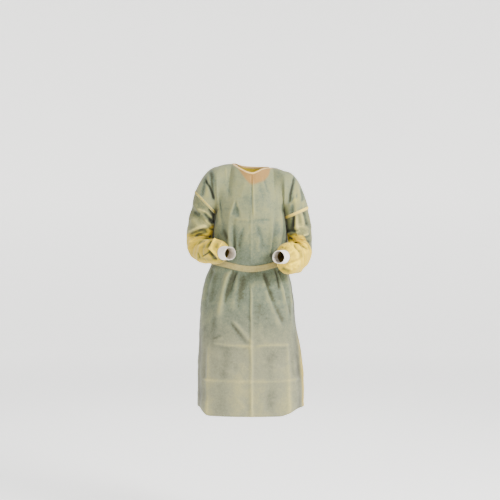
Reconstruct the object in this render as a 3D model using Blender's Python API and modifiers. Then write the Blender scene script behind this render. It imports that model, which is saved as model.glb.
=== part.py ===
"""A worn protective gown of thin nonwoven cloth, hollow, held in the pose of its wearer.

Metres, +Z up. The front faces -Y, and the wearer's left is +X. The origin lies between the
shoulders, level with the top of the shoulder line, where the wearer holds the gown up.

The body is worked out on columns and rows. A column's place across the front, or across the
back, is its `across`: -1 at the side seam on the wearer's right, 0 in the middle, +1 at the
side seam on the left. Rows run down from the neck and the shoulder line, through the armpit,
to the hem. Beyond the side columns, above the armpit, two wings drop over the shoulders.
"""

from collections import namedtuple

import bmesh
import bpy
import numpy as np
from mathutils import Matrix

# ---------------------------------------------------------------- cloth and seams
WALL = 0.0012  # the cloth's wall
SEAM_GAP = 0.0006  # between the cut edges of two joined pieces
ARMPIT_EASE, ARMPIT_REACH = 0.0005, 0.02  # more room where four edges meet under the arm
LAY = 0.0005  # between a panel and what lies on it
FORWARD, BACKWARD = -1, 1  # the side of the wearer that a panel covers, as the sign of y

# ---------------------------------------------------------------- columns and rows
COLUMNS_PER_HALF = 15  # from the middle of the front or back to a side seam
NECK_COLUMN = 8  # the column that ends at the neck point, where the shoulder line starts
OUTER_BACK_COLUMN = 6  # the free edge of the outer back panel, past the middle
INNER_BACK_COLUMN = -5  # the free edge of the inner back panel, under the outer one
OVERLAP_LIFT = 0.0036  # how far the outer back panel stands off the inner one
OVERLAP_EASE = 0.12  # of `across`, over which it rises to that
WING_COLUMNS = 5  # from the side column to the sleeve seam
SEAM_BAND = 0.0065  # half the width of the double cloth along a sleeve seam

UPPER_ROWS = (0.0, 0.045, 0.145, 0.26, 0.38, 0.50, 0.62, 0.74, 0.87, 1.0)  # shoulder to armpit
ARMPIT = -0.195
BELT_TOP, BELT_FOOT = -0.405, -0.431  # the waist tie's edges at the side seams
HEM = -1.075
LOWER_ROWS = (
    (-0.222, -0.254, -0.288, -0.322, -0.355, -0.382)
    + (BELT_TOP, BELT_FOOT)
    + (-0.458, -0.492, -0.535, -0.590, -0.655, -0.725, -0.800, -0.875, -0.950, -1.020)
    + (HEM,)
)

# ---------------------------------------------------------------- the body's sections
# One row for each height: the reach to the wearer's right (-X) and left (+X), the depth in
# front and behind, and how square the section is (2 is an ellipse).
Level = namedtuple("Level", "height right left front back square")
LEVELS = (
    Level(ARMPIT, 0.147, 0.145, 0.124, 0.116, 2.15),
    Level(-0.230, 0.155, 0.149, 0.131, 0.117, 2.15),
    Level(-0.290, 0.1635, 0.156, 0.134, 0.113, 2.15),
    Level(-0.360, 0.157, 0.148, 0.127, 0.107, 2.15),
    Level(-0.425, 0.172, 0.153, 0.119, 0.104, 2.15),
    Level(-0.480, 0.196, 0.169, 0.129, 0.116, 2.3),
    Level(-0.585, 0.219, 0.187, 0.146, 0.136, 2.4),
    Level(-0.700, 0.226, 0.198, 0.157, 0.148, 2.5),
    Level(-0.790, 0.229, 0.216, 0.163, 0.154, 2.5),
    Level(-0.885, 0.233, 0.228, 0.168, 0.158, 2.5),
    Level(HEM, 0.233, 0.231, 0.174, 0.164, 2.8),
)
BELT_MIDDLE = (BELT_TOP + BELT_FOOT) / 2
BELT_SAG = 0.034  # how far the waist tie droops in the middle of the front
BELT_SAG_REACH = 0.09  # height over which the rows beside it follow
HEM_RISE, HEM_RISE_BEHIND = 0.028, 0.012  # how far the hem climbs at the sides and behind
HEM_RISE_TOP = -0.85  # the rows below this height climb with it
# Where the climb sets in and how far it takes, as the sine of the turn: the wearer's right and
# left.
HEM_SIDE_START, HEM_SIDE_SPAN = (0.77, 0.60), (0.19, 0.30)

# ---------------------------------------------------------------- neck and shoulders
# The finished edge of the neck, bound, from the wearer's right to the left.
NeckPoint = namedtuple("NeckPoint", "across x y z")
NECK_SPAN = NECK_COLUMN / COLUMNS_PER_HALF
FRONT_NECK = (
    NeckPoint(-1.00, -0.076, 0.012, 0.013),
    NeckPoint(-0.78, -0.062, -0.028, -0.001),
    NeckPoint(-0.48, -0.037, -0.057, -0.0185),
    NeckPoint(-0.13, -0.010, -0.073, -0.031),
    NeckPoint(0.08, 0.007, -0.075, -0.034),
    NeckPoint(0.33, 0.027, -0.068, -0.027),
    NeckPoint(0.55, 0.045, -0.054, -0.017),
    NeckPoint(0.80, 0.070, -0.026, -0.010),
    NeckPoint(1.00, 0.090, 0.008, -0.008),
)
BACK_NECK = (
    NeckPoint(-1.00, -0.076, 0.012, 0.013),
    NeckPoint(-0.72, -0.062, 0.047, 0.010),
    NeckPoint(-0.35, -0.032, 0.072, 0.005),
    NeckPoint(0.00, 0.003, 0.080, 0.003),
    NeckPoint(0.40, 0.045, 0.070, 0.000),
    NeckPoint(0.78, 0.078, 0.040, -0.004),
    NeckPoint(1.00, 0.090, 0.008, -0.008),
)
NECK_CENTRE = (0.007, 0.0)
NECK_LEAN_SIDE, NECK_LEAN_MIDDLE = 12, 58  # degrees that the cloth slopes down from the neck
BINDING_WIDTH, BINDING_WALL, BINDING_ROWS = 0.0085, 0.0026, 3
NECK_GAP = 0.0008  # from the binding to the panels it binds

# How each column leaves the top line and reaches the armpit's height: it rolls out over the
# shoulder and drops, then arrives from a point that bulges out and stands higher.
Column = namedtuple("Column", "across roll drop bulge rise")
FRONT_COLUMNS = (
    Column(0.00, 0.022, 0.045, -0.004, 0.060),
    Column(0.30, 0.026, 0.040, -0.003, 0.060),
    Column(NECK_SPAN, 0.045, 0.002, 0.004, 0.060),
    Column(0.78, 0.080, 0.000, 0.035, 0.058),
    Column(1.00, 0.105, 0.000, 0.112, 0.010),
)
BACK_COLUMNS = (
    Column(0.00, 0.026, 0.034, 0.000, 0.060),
    Column(0.30, 0.028, 0.030, 0.000, 0.060),
    Column(NECK_SPAN, 0.043, 0.002, 0.006, 0.060),
    Column(0.78, 0.074, 0.000, 0.032, 0.058),
    Column(1.00, 0.100, 0.000, 0.108, 0.010),
)

# ---------------------------------------------------------------- folds of the body
# A ridge (push over 0) or a groove runs from its root, where it is deepest, to its tip, where
# it has died out. Turns are degrees round the body: 0 in front, 90 at the wearer's left.
Fold = namedtuple("Fold", "root_turn tip_turn root tip push width")
FOLD_RADIUS = 0.16  # turns are measured as arcs of this radius
FOLD_ROOT_FADE = 0.014
BELT_PRESS = 0.022  # height beside the waist tie over which a ridge rises
BELT_GROOVE = 0.3  # the share of a groove that is left under the tie
BELT_CLEAR = 0.001  # flat cloth past each edge of the tie
FOLD_TOP_FADE = 0.3  # the share of the rows, below the top line, over which folds set in
BODY_FOLDS = (
    # below the waist, in front
    Fold(-31, -44, -0.465, -0.66, -0.017, 0.011),
    Fold(-40, -52, -0.475, -0.84, 0.013, 0.017),
    Fold(56, 60, -0.465, -0.62, -0.015, 0.011),
    Fold(24, 43, -0.470, -0.73, -0.009, 0.013),
    Fold(62, 54, -0.480, -0.86, 0.010, 0.020),
    Fold(-70, -66, -0.470, -0.72, -0.009, 0.014),
    Fold(-57, -58, -1.100, -0.70, 0.007, 0.022),
    Fold(50, 51, -1.100, -0.72, 0.006, 0.022),
    Fold(-14, -24, -0.770, -1.10, -0.004, 0.030),
    # above the waist, in front
    Fold(-31, -25, -0.385, -0.22, -0.013, 0.011),
    Fold(-40, -36, -0.375, -0.17, 0.011, 0.014),
    Fold(48, 43, -0.385, -0.14, -0.013, 0.011),
    Fold(39, 35, -0.375, -0.16, 0.009, 0.013),
    Fold(72, 66, -0.380, -0.24, -0.009, 0.012),
    Fold(-68, -60, -0.380, -0.25, -0.008, 0.012),
    # behind, above and below the waist
    Fold(152, 163, -0.460, -0.74, -0.015, 0.012),
    Fold(143, 140, -0.475, -0.86, 0.011, 0.018),
    Fold(-150, -158, -0.460, -0.70, -0.014, 0.012),
    Fold(-138, -130, -0.475, -0.84, 0.012, 0.018),
    Fold(-118, -108, -0.465, -0.66, -0.011, 0.013),
    Fold(118, 112, -0.465, -0.68, -0.012, 0.013),
    Fold(-170, -160, -0.470, -0.90, 0.007, 0.018),
    Fold(150, 160, -0.380, -0.20, -0.012, 0.012),
    Fold(-148, -160, -0.380, -0.18, -0.012, 0.012),
    Fold(-134, -130, -0.375, -0.20, 0.008, 0.016),
    Fold(128, 124, -0.375, -0.22, -0.009, 0.013),
    # loose cloth behind each arm
    Fold(108, 108, -0.385, -0.02, 0.020, 0.016),
    Fold(108, 108, -0.175, -0.36, 0.014, 0.016),
    Fold(-108, -108, -0.385, -0.02, 0.020, 0.016),
    Fold(-108, -108, -0.175, -0.36, 0.014, 0.016),
    # behind, at the foot of the skirt
    Fold(-132, -134, -1.100, -0.72, 0.007, 0.024),
    Fold(134, 132, -1.100, -0.74, 0.006, 0.024),
)
CENTRE_CREASE = 0.0022  # how far the packing fold down the middle of the front stands out
CENTRE_CREASE_WIDTH, CENTRE_CREASE_TOP, CENTRE_CREASE_FADE = 0.006, -0.060, 0.050

# ---------------------------------------------------------------- arms
# Each arm is measured as if it were the left one, x growing away from the body. The sleeve
# runs straight to the elbow, round it on an arc, and straight on to the wrist.
# `tilt` slants the sleeve seam. `rise` and `inset` place the point that bows a wing: how far it
# stands above the seam at the shoulder line, and in from it.
Arm = namedtuple("Arm", "name side shoulder armhole elbow wrist tilt rise inset sections folds")
WING_RISE_UNDER, WING_RISE_POWER = 0.012, 1.5  # the rise under the arm, and how soon it drops
BEND_RADIUS = 0.066
TILT_REACH = 0.30  # the station where the slant of the sleeve seam has died out
RING = 2 * (len(UPPER_ROWS) - 1)  # columns round a sleeve, as many as a wing's two edges hold
RING_ANGLES = np.arange(RING) * 360.0 / RING
HALF_RING = RING // 2
# One row for each station along the sleeve: the half width across the arm, and the reach on
# the crook's side (the top of the forearm) and on the elbow's side (its underside), and how
# square the section is (2 is an ellipse).
SleeveSection = namedtuple("SleeveSection", "station across crook elbow square")
# A fold across the sleeve: its middle, as a station and an angle from the arm's outer line
# towards the front, how far it slants over a half turn, its reach, push and half width.
SleeveFold = namedtuple("SleeveFold", "station angle slant reach push width")
SLEEVE_LENGTH = 0.39  # turns a station's share into a distance, for the folds' widths
SLEEVE_PLAIN, SLEEVE_FOLD_FADE = 0.03, 0.08  # stations without folds, and where they grow

RIGHT_ARM = Arm(
    name="right",
    side=-1,
    shoulder=(0.150, 0.006, -0.002),
    armhole=(0.2015, -0.008, -0.160),
    elbow=(0.238, 0.002, -0.374),
    wrist=(0.116, -0.213, -0.382),
    tilt=0.038,
    rise=0.095,
    inset=0.042,
    sections=(
        SleeveSection(0.00, 0.050, 0.055, 0.055, 2.0),
        SleeveSection(0.15, 0.056, 0.058, 0.057, 2.0),
        SleeveSection(0.32, 0.057, 0.057, 0.054, 2.2),
        SleeveSection(0.50, 0.053, 0.050, 0.044, 2.8),
        SleeveSection(0.62, 0.051, 0.050, 0.048, 3.0),
        SleeveSection(0.75, 0.052, 0.052, 0.049, 2.7),
        SleeveSection(0.88, 0.049, 0.052, 0.047, 2.3),
        SleeveSection(0.95, 0.040, 0.043, 0.040, 2.1),
        SleeveSection(1.00, 0.029, 0.029, 0.029, 2.0),
    ),
    folds=(
        SleeveFold(0.16, 62, 0.10, 55, -0.009, 0.011),
        SleeveFold(0.24, 75, 0.14, 50, 0.008, 0.013),
        SleeveFold(0.36, 85, -0.05, 60, -0.012, 0.010),
        SleeveFold(0.44, 95, -0.08, 55, 0.008, 0.011),
        SleeveFold(0.58, 60, 0.16, 60, -0.007, 0.012),
        SleeveFold(0.72, 30, 0.20, 70, 0.006, 0.013),
        SleeveFold(0.34, -95, 0.06, 60, -0.007, 0.014),
        SleeveFold(0.62, -60, -0.18, 70, -0.007, 0.014),
    ),
)
LEFT_ARM = Arm(
    name="left",
    side=1,
    shoulder=(0.145, 0.006, -0.022),
    armhole=(0.2015, -0.008, -0.205),
    elbow=(0.224, 0.002, -0.394),
    wrist=(0.136, -0.213, -0.398),
    tilt=0.016,
    rise=0.150,
    inset=0.040,
    sections=(
        SleeveSection(0.00, 0.052, 0.054, 0.054, 2.0),
        SleeveSection(0.15, 0.053, 0.056, 0.056, 2.0),
        SleeveSection(0.32, 0.052, 0.056, 0.055, 2.2),
        SleeveSection(0.48, 0.050, 0.050, 0.050, 2.8),
        SleeveSection(0.60, 0.051, 0.052, 0.062, 2.8),
        SleeveSection(0.74, 0.052, 0.054, 0.074, 2.8),
        SleeveSection(0.88, 0.050, 0.053, 0.070, 2.4),
        SleeveSection(0.95, 0.040, 0.043, 0.050, 2.1),
        SleeveSection(1.00, 0.029, 0.029, 0.029, 2.0),
    ),
    folds=(
        SleeveFold(0.22, 60, 0.10, 50, 0.007, 0.012),
        SleeveFold(0.33, 75, -0.06, 60, -0.011, 0.010),
        SleeveFold(0.41, 85, -0.10, 60, 0.009, 0.010),
        SleeveFold(0.49, 75, -0.14, 60, -0.009, 0.010),
        SleeveFold(0.57, 60, -0.18, 65, 0.008, 0.011),
        SleeveFold(0.66, 45, -0.20, 65, -0.008, 0.012),
        SleeveFold(0.80, 20, 0.20, 70, 0.007, 0.013),
        SleeveFold(0.30, -95, 0.06, 60, -0.007, 0.014),
        SleeveFold(0.64, -70, -0.18, 70, -0.008, 0.014),
    ),
)
SHOULDER_ARCH = 0.0035  # how far the shoulder line bows up between neck and shoulder
SHOULDER_ENDS = tuple(np.array(arm.shoulder) * (arm.side, 1, 1) for arm in (RIGHT_ARM, LEFT_ARM))
SLEEVE_STATIONS = (
    (0.02, 0.06, 0.10, 0.145, 0.19, 0.235, 0.28, 0.325, 0.37, 0.41, 0.45, 0.49)
    + (0.53, 0.57, 0.615, 0.66, 0.705, 0.75, 0.795, 0.84, 0.88, 0.915, 0.945, 0.972)
    + (1.0,)
)
GATHER_DEPTH = 0.0022  # of the small gathers that draw the sleeve in to its cuff
GATHER_START, GATHER_GROWTH, GATHER_END = 0.90, 0.05, 0.02  # as stations

CUFF_LENGTH, CUFF_RADIUS, CUFF_END_RADIUS = 0.060, 0.0285, 0.0265
CUFF_RIBS, CUFF_RIB_HEIGHT, CUFF_WALL = 26, 0.0005, 0.0018
CUFF_ROWS = 3

# ---------------------------------------------------------------- tape and waist tie
TAPE_WALL, TAPE_LAY = 0.0010, 0.0007
TAPE_STEP = 0.01  # of `across` and of the rows, between points that give a normal
BAND_WALL = 0.0010  # of the double cloth along a sleeve seam
# The tape's two edges as places on the panels, from the back round the neck to the front.
TapeRow = namedtuple("TapeRow", "facing inner_across inner_row outer_across outer_row")
TAPE_ROWS = (
    TapeRow(BACKWARD, 4 / COLUMNS_PER_HALF, 0.004, 4 / COLUMNS_PER_HALF, 0.125),
    TapeRow(BACKWARD, 5 / COLUMNS_PER_HALF, 0.004, 5 / COLUMNS_PER_HALF, 0.125),
    TapeRow(BACKWARD, 6 / COLUMNS_PER_HALF, 0.004, 0.42, 0.120),
    TapeRow(BACKWARD, 0.48, 0.004, 0.55, 0.115),
    TapeRow(BACKWARD, 0.55, 0.004, 0.68, 0.06),
    TapeRow(FORWARD, 0.56, 0.004, 0.74, 0.004),
    TapeRow(FORWARD, 0.55, 0.05, 0.70, 0.05),
    TapeRow(FORWARD, 0.545, 0.09, 0.69, 0.09),
    TapeRow(FORWARD, 0.54, 0.115, 0.685, 0.115),
)
LOOP_STRIP_ROWS = slice(3, 9)
HOOK_TAB_ROWS = slice(0, 8)
# The hook tab's inner face above the smooth panel: over the outer back panel, past its edge,
# then over the loop strip.
HOOK_TAB_LIFTS = (0.0046, 0.0046, 0.0046, 0.0038, 0.0028, 0.0024, 0.0023, 0.0023)

BELT_WALL = 0.0014
BELT_OVERLAP_EASE = 0.2  # of `across`, past the outer panel's edge, where the tie comes down
KNOT_SIZE = (0.034, 0.013, 0.026)
KNOT_OUT = 0.0060  # from the smooth back to the knot, over both back panels and the tie
TAIL_WIDTH, TAIL_WALL, TAIL_ROWS = 0.024, 0.0014, 9
TAIL_NIP, TAIL_NIP_REACH = 0.40, 0.2  # its share of that width at the knot, and how far down
TAIL_START = 0.40  # of the knot's height, from its middle down to a tail's end
TAIL_BEND = 1.3  # how late a tail swings aside: 1 is a straight run
TAIL_RADIUS = 0.15
TAIL_OUT = 0.0095  # from the smooth back to the tails' outer face
Tail = namedtuple("Tail", "name start reach length swing")
TAILS = (
    Tail("right", -0.0065, -0.034, 0.30, -0.010),
    Tail("left", 0.0065, 0.024, 0.25, 0.008),
)


def smooth_through(knots, values, at):
    """Reads a smooth cubic curve through (knots, values) at the places `at`."""
    knots, values = np.asarray(knots, float), np.asarray(values, float)
    slopes = np.gradient(values, knots)
    first = np.clip(np.searchsorted(knots, at) - 1, 0, len(knots) - 2)
    span = knots[first + 1] - knots[first]
    t = (np.clip(at, knots[0], knots[-1]) - knots[first]) / span
    start = (1 + 2 * t) * (1 - t) ** 2 * values[first] + t * (1 - t) ** 2 * span * slopes[first]
    end = t**2 * (3 - 2 * t) * values[first + 1] - t**2 * (1 - t) * span * slopes[first + 1]
    return start + end


def read_table(rows, key, column, at):
    """One named column of a table, read smoothly along another."""
    order = sorted(rows, key=lambda row: getattr(row, key))
    knots = [getattr(row, key) for row in order]
    return smooth_through(knots, [getattr(row, column) for row in order], np.asarray(at, float))


def ease(t):
    """0 below 0, 1 above 1, and a smooth step between."""
    t = np.clip(t, 0, 1)
    return t * t * (3 - 2 * t)


def stack(x, y, z):
    """Points from three arrays that broadcast together."""
    return np.stack(np.broadcast_arrays(x, y, z), axis=-1).astype(float)


def unit(vectors):
    """The same vectors, one long."""
    vectors = np.asarray(vectors, float)
    return vectors / np.linalg.norm(vectors, axis=-1, keepdims=True)


def grid_normals(points, closed=False):
    """Normals of a grid of points: along its rows crossed with along its columns."""
    if closed:
        wide = np.concatenate([points[:, -1:], points, points[:, :1]], axis=1)
        along = np.gradient(wide, axis=1)[:, 1:-1]
    else:
        along = np.gradient(points, axis=1)
    return unit(np.cross(np.gradient(points, axis=0), along))


# ---------------------------------------------------------------- the body's surface
def across_to_turn(across, facing):
    """Degrees round the body, 0 in front and 90 at the wearer's left."""
    across = np.asarray(across, float)
    if facing == FORWARD:
        return 90 * across
    return np.where(across < 0, -180 - 90 * across, 180 - 90 * across)


def section_point(turn, height):
    """A point of the body's section at a height: a squared ellipse, read by its polar angle."""
    angle = np.radians(turn)
    sine, cosine = np.sin(angle), np.cos(angle)
    right = read_table(LEVELS, "height", "right", height)
    left = read_table(LEVELS, "height", "left", height)
    front = read_table(LEVELS, "height", "front", height)
    back = read_table(LEVELS, "height", "back", height)
    square = read_table(LEVELS, "height", "square", height)
    side = np.where(sine > 0, left, right)
    depth = np.where(cosine > 0, front, back)
    reach = ((np.abs(sine) / side) ** square + (np.abs(cosine) / depth) ** square) ** (-1 / square)
    return reach * sine, -reach * cosine


def belt_sag(turn):
    """How far the waist tie droops, which it does in front."""
    return BELT_SAG * np.clip(np.cos(np.radians(turn)), 0, None) ** 2


def row_height(level, turn):
    """The height of a row: near the waist it droops with the tie, at the hem it climbs."""
    cosine = np.cos(np.radians(turn))
    beside = np.exp(-(((level - BELT_MIDDLE) / BELT_SAG_REACH) ** 2))
    sag = belt_sag(turn) * beside
    sine = np.sin(np.radians(turn))
    start, span = (np.where(sine < 0, *sides) for sides in (HEM_SIDE_START, HEM_SIDE_SPAN))
    sideways = ease((np.abs(sine) - start) / span)
    middle = np.where(cosine > 0, 0, HEM_RISE_BEHIND)
    rise = middle + (HEM_RISE - middle) * sideways
    return level - sag + rise * ease((level - HEM_RISE_TOP) / (HEM - HEM_RISE_TOP))


def fold_push(turn, height):
    """How far the folds push the body's cloth outwards at each turn and height.

    The waist tie presses the ridges flat and leaves some of each groove.
    """
    push = np.zeros(np.broadcast(turn, height).shape)
    from_belt = np.abs(height - BELT_MIDDLE + belt_sag(turn))
    free = ease((from_belt - (BELT_TOP - BELT_FOOT) / 2 - BELT_CLEAR) / BELT_PRESS)
    for fold in BODY_FOLDS:
        share = (height - fold.root) / (fold.tip - fold.root)
        middle = fold.root_turn + (fold.tip_turn - fold.root_turn) * np.clip(share, 0, 1)
        aside = np.radians((turn - middle + 180) % 360 - 180) * FOLD_RADIUS
        before = np.exp(-((share * (fold.tip - fold.root) / FOLD_ROOT_FADE) ** 2))
        fade = np.where(share < 0, before, 1 - ease(share))
        kept = free if fold.push > 0 else BELT_GROOVE + (1 - BELT_GROOVE) * free
        push += fold.push * kept * fade * np.exp(-((aside / fold.width) ** 2))
    middle_of_front = np.exp(-((np.radians(turn) * FOLD_RADIUS / CENTRE_CREASE_WIDTH) ** 2))
    below_neck = ease((CENTRE_CREASE_TOP - height) / CENTRE_CREASE_FADE)
    return push + CENTRE_CREASE * middle_of_front * free * below_neck


def outwards(turn):
    """The level direction straight out of the body at a turn."""
    angle = np.radians(turn)
    return stack(np.sin(angle), -np.cos(angle), 0.0)


def overlap_lift(across):
    """How far the outer back panel stands off, from its seam to its free edge."""
    return OVERLAP_LIFT * ease((across + NECK_SPAN) / OVERLAP_EASE)


def neck_edge(across, facing):
    """The finished neck edge, and the direction in which the cloth slopes away from it."""
    share = np.clip(across / NECK_SPAN, -1, 1)
    table = FRONT_NECK if facing == FORWARD else BACK_NECK
    edge = stack(*(read_table(table, "across", axis, share) for axis in "xyz"))
    level = unit(edge[..., :2] - np.array(NECK_CENTRE))
    lean = NECK_LEAN_SIDE + (NECK_LEAN_MIDDLE - NECK_LEAN_SIDE) * np.cos(share * np.pi / 2) ** 2
    lean = np.radians(lean)
    away = stack(level[..., 0] * np.cos(lean), level[..., 1] * np.cos(lean), -np.sin(lean))
    return edge, away


def top_line(across, facing):
    """The panels' upper edge: beside the binding at the neck, then along the shoulder."""
    edge, away = neck_edge(across, facing)
    bound = edge + away * (BINDING_WIDTH + NECK_GAP)
    arms = np.where(across[..., None] < 0, SHOULDER_ENDS[0], SHOULDER_ENDS[1])
    out = np.clip((np.abs(across) - NECK_SPAN) / (1 - NECK_SPAN), 0, 1)[..., None]
    arch = np.array((0.0, 0.0, SHOULDER_ARCH)) * np.sin(out * np.pi)
    return bound + (arms - bound) * out + arch


def upper_body(across, rows, facing):
    """The body above the armpit's height, each column a cubic from the top line down.

    Args: `across` for each column, `rows` from 0 at the top line to 1 at the armpit's height.
    """
    across, rows = np.broadcast_arrays(np.asarray(across, float), np.asarray(rows, float))
    top = top_line(across, facing)
    turn = across_to_turn(across, facing)
    foot = stack(*section_point(turn, ARMPIT), ARMPIT)
    table = FRONT_COLUMNS if facing == FORWARD else BACK_COLUMNS
    place = np.abs(across)
    roll, drop, bulge, rise = (
        read_table(table, "across", name, place) for name in ("roll", "drop", "bulge", "rise")
    )
    leave = top + stack(0.0, facing * roll, -drop)
    arrive = foot + stack(0.0, facing * bulge, rise)
    t = rows[..., None]
    points = (1 - t) ** 3 * top + 3 * (1 - t) ** 2 * t * leave
    points = points + 3 * (1 - t) * t**2 * arrive + t**3 * foot
    push = fold_push(turn, points[..., 2]) * ease(rows / FOLD_TOP_FADE)
    return points + push[..., None] * outwards(turn)


def lower_body(across, levels, facing):
    """The body from the armpit's height down to the hem."""
    across, levels = np.broadcast_arrays(np.asarray(across, float), np.asarray(levels, float))
    turn = across_to_turn(across, facing)
    height = row_height(levels, turn)
    points = stack(*section_point(turn, levels), height)
    return points + fold_push(turn, height)[..., None] * outwards(turn)


# ---------------------------------------------------------------- the arms' surface
def arm_frame(arm, station):
    """The middle of a sleeve at each station, with its directions across, down and along."""
    armhole, elbow, wrist = (np.array(p) for p in (arm.armhole, arm.elbow, arm.wrist))
    first, second = unit(elbow - armhole), unit(wrist - elbow)
    bend = np.arccos(np.clip(first @ second, -1, 1))
    cut = BEND_RADIUS * np.tan(bend / 2)
    straight = np.linalg.norm(elbow - armhole) - cut
    arc = BEND_RADIUS * bend
    last = np.linalg.norm(wrist - elbow) - cut
    place = np.asarray(station, float)[..., None] * (straight + arc + last)
    turned = np.clip((place - straight) / BEND_RADIUS, 0, bend)
    towards = unit(second - (second @ first) * first)
    middle = armhole + first * np.minimum(place, straight)
    middle = middle + BEND_RADIUS * (np.sin(turned) * first + (1 - np.cos(turned)) * towards)
    middle = middle + second * np.maximum(place - straight - arc, 0)
    along = np.cos(turned) * first + np.sin(turned) * towards
    across = np.broadcast_to(-unit(np.cross(first, second)), along.shape)
    return middle, across, np.cross(across, along), along


def sleeve_fold_push(arm, station, angle):
    """How far the folds push a sleeve's cloth outwards. Angles are degrees, from -180 to 180."""
    push = np.zeros(np.broadcast(station, angle).shape)
    for fold in arm.folds:
        aside = (angle - fold.angle + 180) % 360 - 180
        middle = fold.station + fold.slant * aside / 180
        distance = (station - middle) * SLEEVE_LENGTH
        fade = np.exp(-((aside / fold.reach) ** 2))
        push += fold.push * fade * np.exp(-((distance / fold.width) ** 2))
    start = ease((station - SLEEVE_PLAIN) / SLEEVE_FOLD_FADE)
    return push * start * ease((1 - station) / SLEEVE_FOLD_FADE)


def sleeve_points(arm, station, angle):
    """A sleeve's cloth. The angle is 0 on the arm's outer line and 90 at the front."""
    station, angle = np.broadcast_arrays(np.asarray(station, float), np.asarray(angle, float))
    middle, across, down, along = arm_frame(arm, station)
    _, start_across, start_down, _ = arm_frame(arm, 0.0)
    outer_line = np.arctan2(start_down[0], start_across[0])
    turn = outer_line - np.radians(angle)
    width = read_table(arm.sections, "station", "across", station)
    crook = read_table(arm.sections, "station", "crook", station)
    elbow = read_table(arm.sections, "station", "elbow", station)
    push = sleeve_fold_push(arm, station, (angle + 180) % 360 - 180)
    gather = np.cos(np.radians(angle) * RING / 2) * GATHER_DEPTH
    gather = gather * ease((station - GATHER_START) / GATHER_GROWTH)
    push = push + gather * ease((1 - station) / GATHER_END)
    reach = np.where(np.sin(turn) > 0, elbow, crook) + push
    power = 2 / read_table(arm.sections, "station", "square", station)
    cosine = np.sign(np.cos(turn)) * np.abs(np.cos(turn)) ** power
    sine = np.sign(np.sin(turn)) * np.abs(np.sin(turn)) ** power
    points = middle + ((width + push) * cosine)[..., None] * across
    points = points + (reach * sine)[..., None] * down
    slope = arm.tilt * np.cos(np.radians(angle)) * (1 - ease(station / TILT_REACH))
    points = points - slope[..., None] * along
    return points * (arm.side, 1, 1)


def armhole_ring(arm):
    """The sleeve seam, a ring of points from the outer line round by the front."""
    return sleeve_points(arm, np.zeros(RING), RING_ANGLES)


def wing(arm, facing):
    """One half of a dropped shoulder, from the body's side column to the sleeve seam.

    Each row is a quadratic curve. Its middle point lies up the arm from the seam, high on the
    shoulder line and low under the arm. The last but one column is half a seam band away.
    """
    rows = np.array(UPPER_ROWS)
    side = upper_body(np.full(len(rows), float(arm.side)), rows, facing)
    ring = armhole_ring(arm)
    half = ring[: HALF_RING + 1] if facing == FORWARD else np.roll(ring[::-1], 1, axis=0)
    half = half[: HALF_RING + 1]
    down = np.linspace(0, 1, len(rows))
    lift = arm.rise * np.cos(down * np.pi / 2) ** WING_RISE_POWER + WING_RISE_UNDER
    middle = half + stack(-arm.side * arm.inset * lift / arm.rise, 0.0, lift)
    band = 1 - SEAM_BAND / (2 * np.linalg.norm(middle - half, axis=1))
    shares = np.arange(WING_COLUMNS) / (WING_COLUMNS - 1)
    t = np.concatenate([band[:, None] * shares, np.ones((len(rows), 1))], axis=1)[..., None]
    points = (1 - t) ** 2 * side[:, None] + 2 * t * (1 - t) * middle[:, None]
    return points + t**2 * half[:, None]


# ---------------------------------------------------------------- building
def material(name, colour, roughness):
    """A plain matt material in the piece's colour."""
    made = bpy.data.materials.get(name) or bpy.data.materials.new(name)
    made.use_nodes = True
    shader = made.node_tree.nodes["Principled BSDF"]
    shader.inputs["Base Color"].default_value = (*colour, 1.0)
    shader.inputs["Roughness"].default_value = roughness
    made.diffuse_color = (*colour, 1.0)
    return made


def grid_faces(present, closed, flip):
    """Quads between the points of a grid that are there, wound so that they face out."""
    rows, columns = present.shape
    number = np.arange(rows * columns).reshape(rows, columns)
    across = columns if closed else columns - 1
    faces = []
    for i in range(rows - 1):
        for j in range(across):
            k = (j + 1) % columns
            if present[i, j] and present[i + 1, j] and present[i + 1, k] and present[i, k]:
                quad = (number[i, j], number[i + 1, j], number[i + 1, k], number[i, k])
                faces.append(tuple(map(int, quad[::-1] if flip else quad)))
    return faces


def cloth(name, points, finish, closed=False, flip=False, wall=WALL, grow=-1):
    """A wall of cloth on a grid of points, NaN where the piece has none.

    Args: `closed` joins the last column to the first, `flip` turns the faces round, and
    `grow` is -1 for a wall inside the points and 1 for a wall outside them.
    """
    present = ~np.isnan(points[..., 0])
    faces = grid_faces(present, closed, flip)
    mesh = bpy.data.meshes.new(name)
    mesh.from_pydata(np.nan_to_num(points).reshape(-1, 3).tolist(), [], faces)
    loose = bmesh.new()
    loose.from_mesh(mesh)
    lone = [vertex for vertex in loose.verts if not vertex.link_faces]
    bmesh.ops.delete(loose, geom=lone, context="VERTS")
    loose.to_mesh(mesh)
    loose.free()
    mesh.shade_smooth()
    return finished(name, mesh, finish, wall, grow)


def finished(name, mesh, finish, wall=None, grow=-1):
    """An object of the gown for a mesh, with its material and, for cloth, its wall."""
    made = bpy.data.objects.new(name, mesh)
    bpy.data.collections["protective_gown"].objects.link(made)
    mesh.materials.append(finish)
    if wall:
        solidify = made.modifiers.new("wall", "SOLIDIFY")
        solidify.thickness = wall
        solidify.offset = grow
    return made


def body_columns(first, last):
    """The `across` of each column from one number to another."""
    return np.arange(first, last + 1) / COLUMNS_PER_HALF


def outward(points, facing=FORWARD, closed=False):
    """Outward normals of a grid whose rows run down and whose columns run to the left."""
    return -facing * grid_normals(points, closed)


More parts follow.
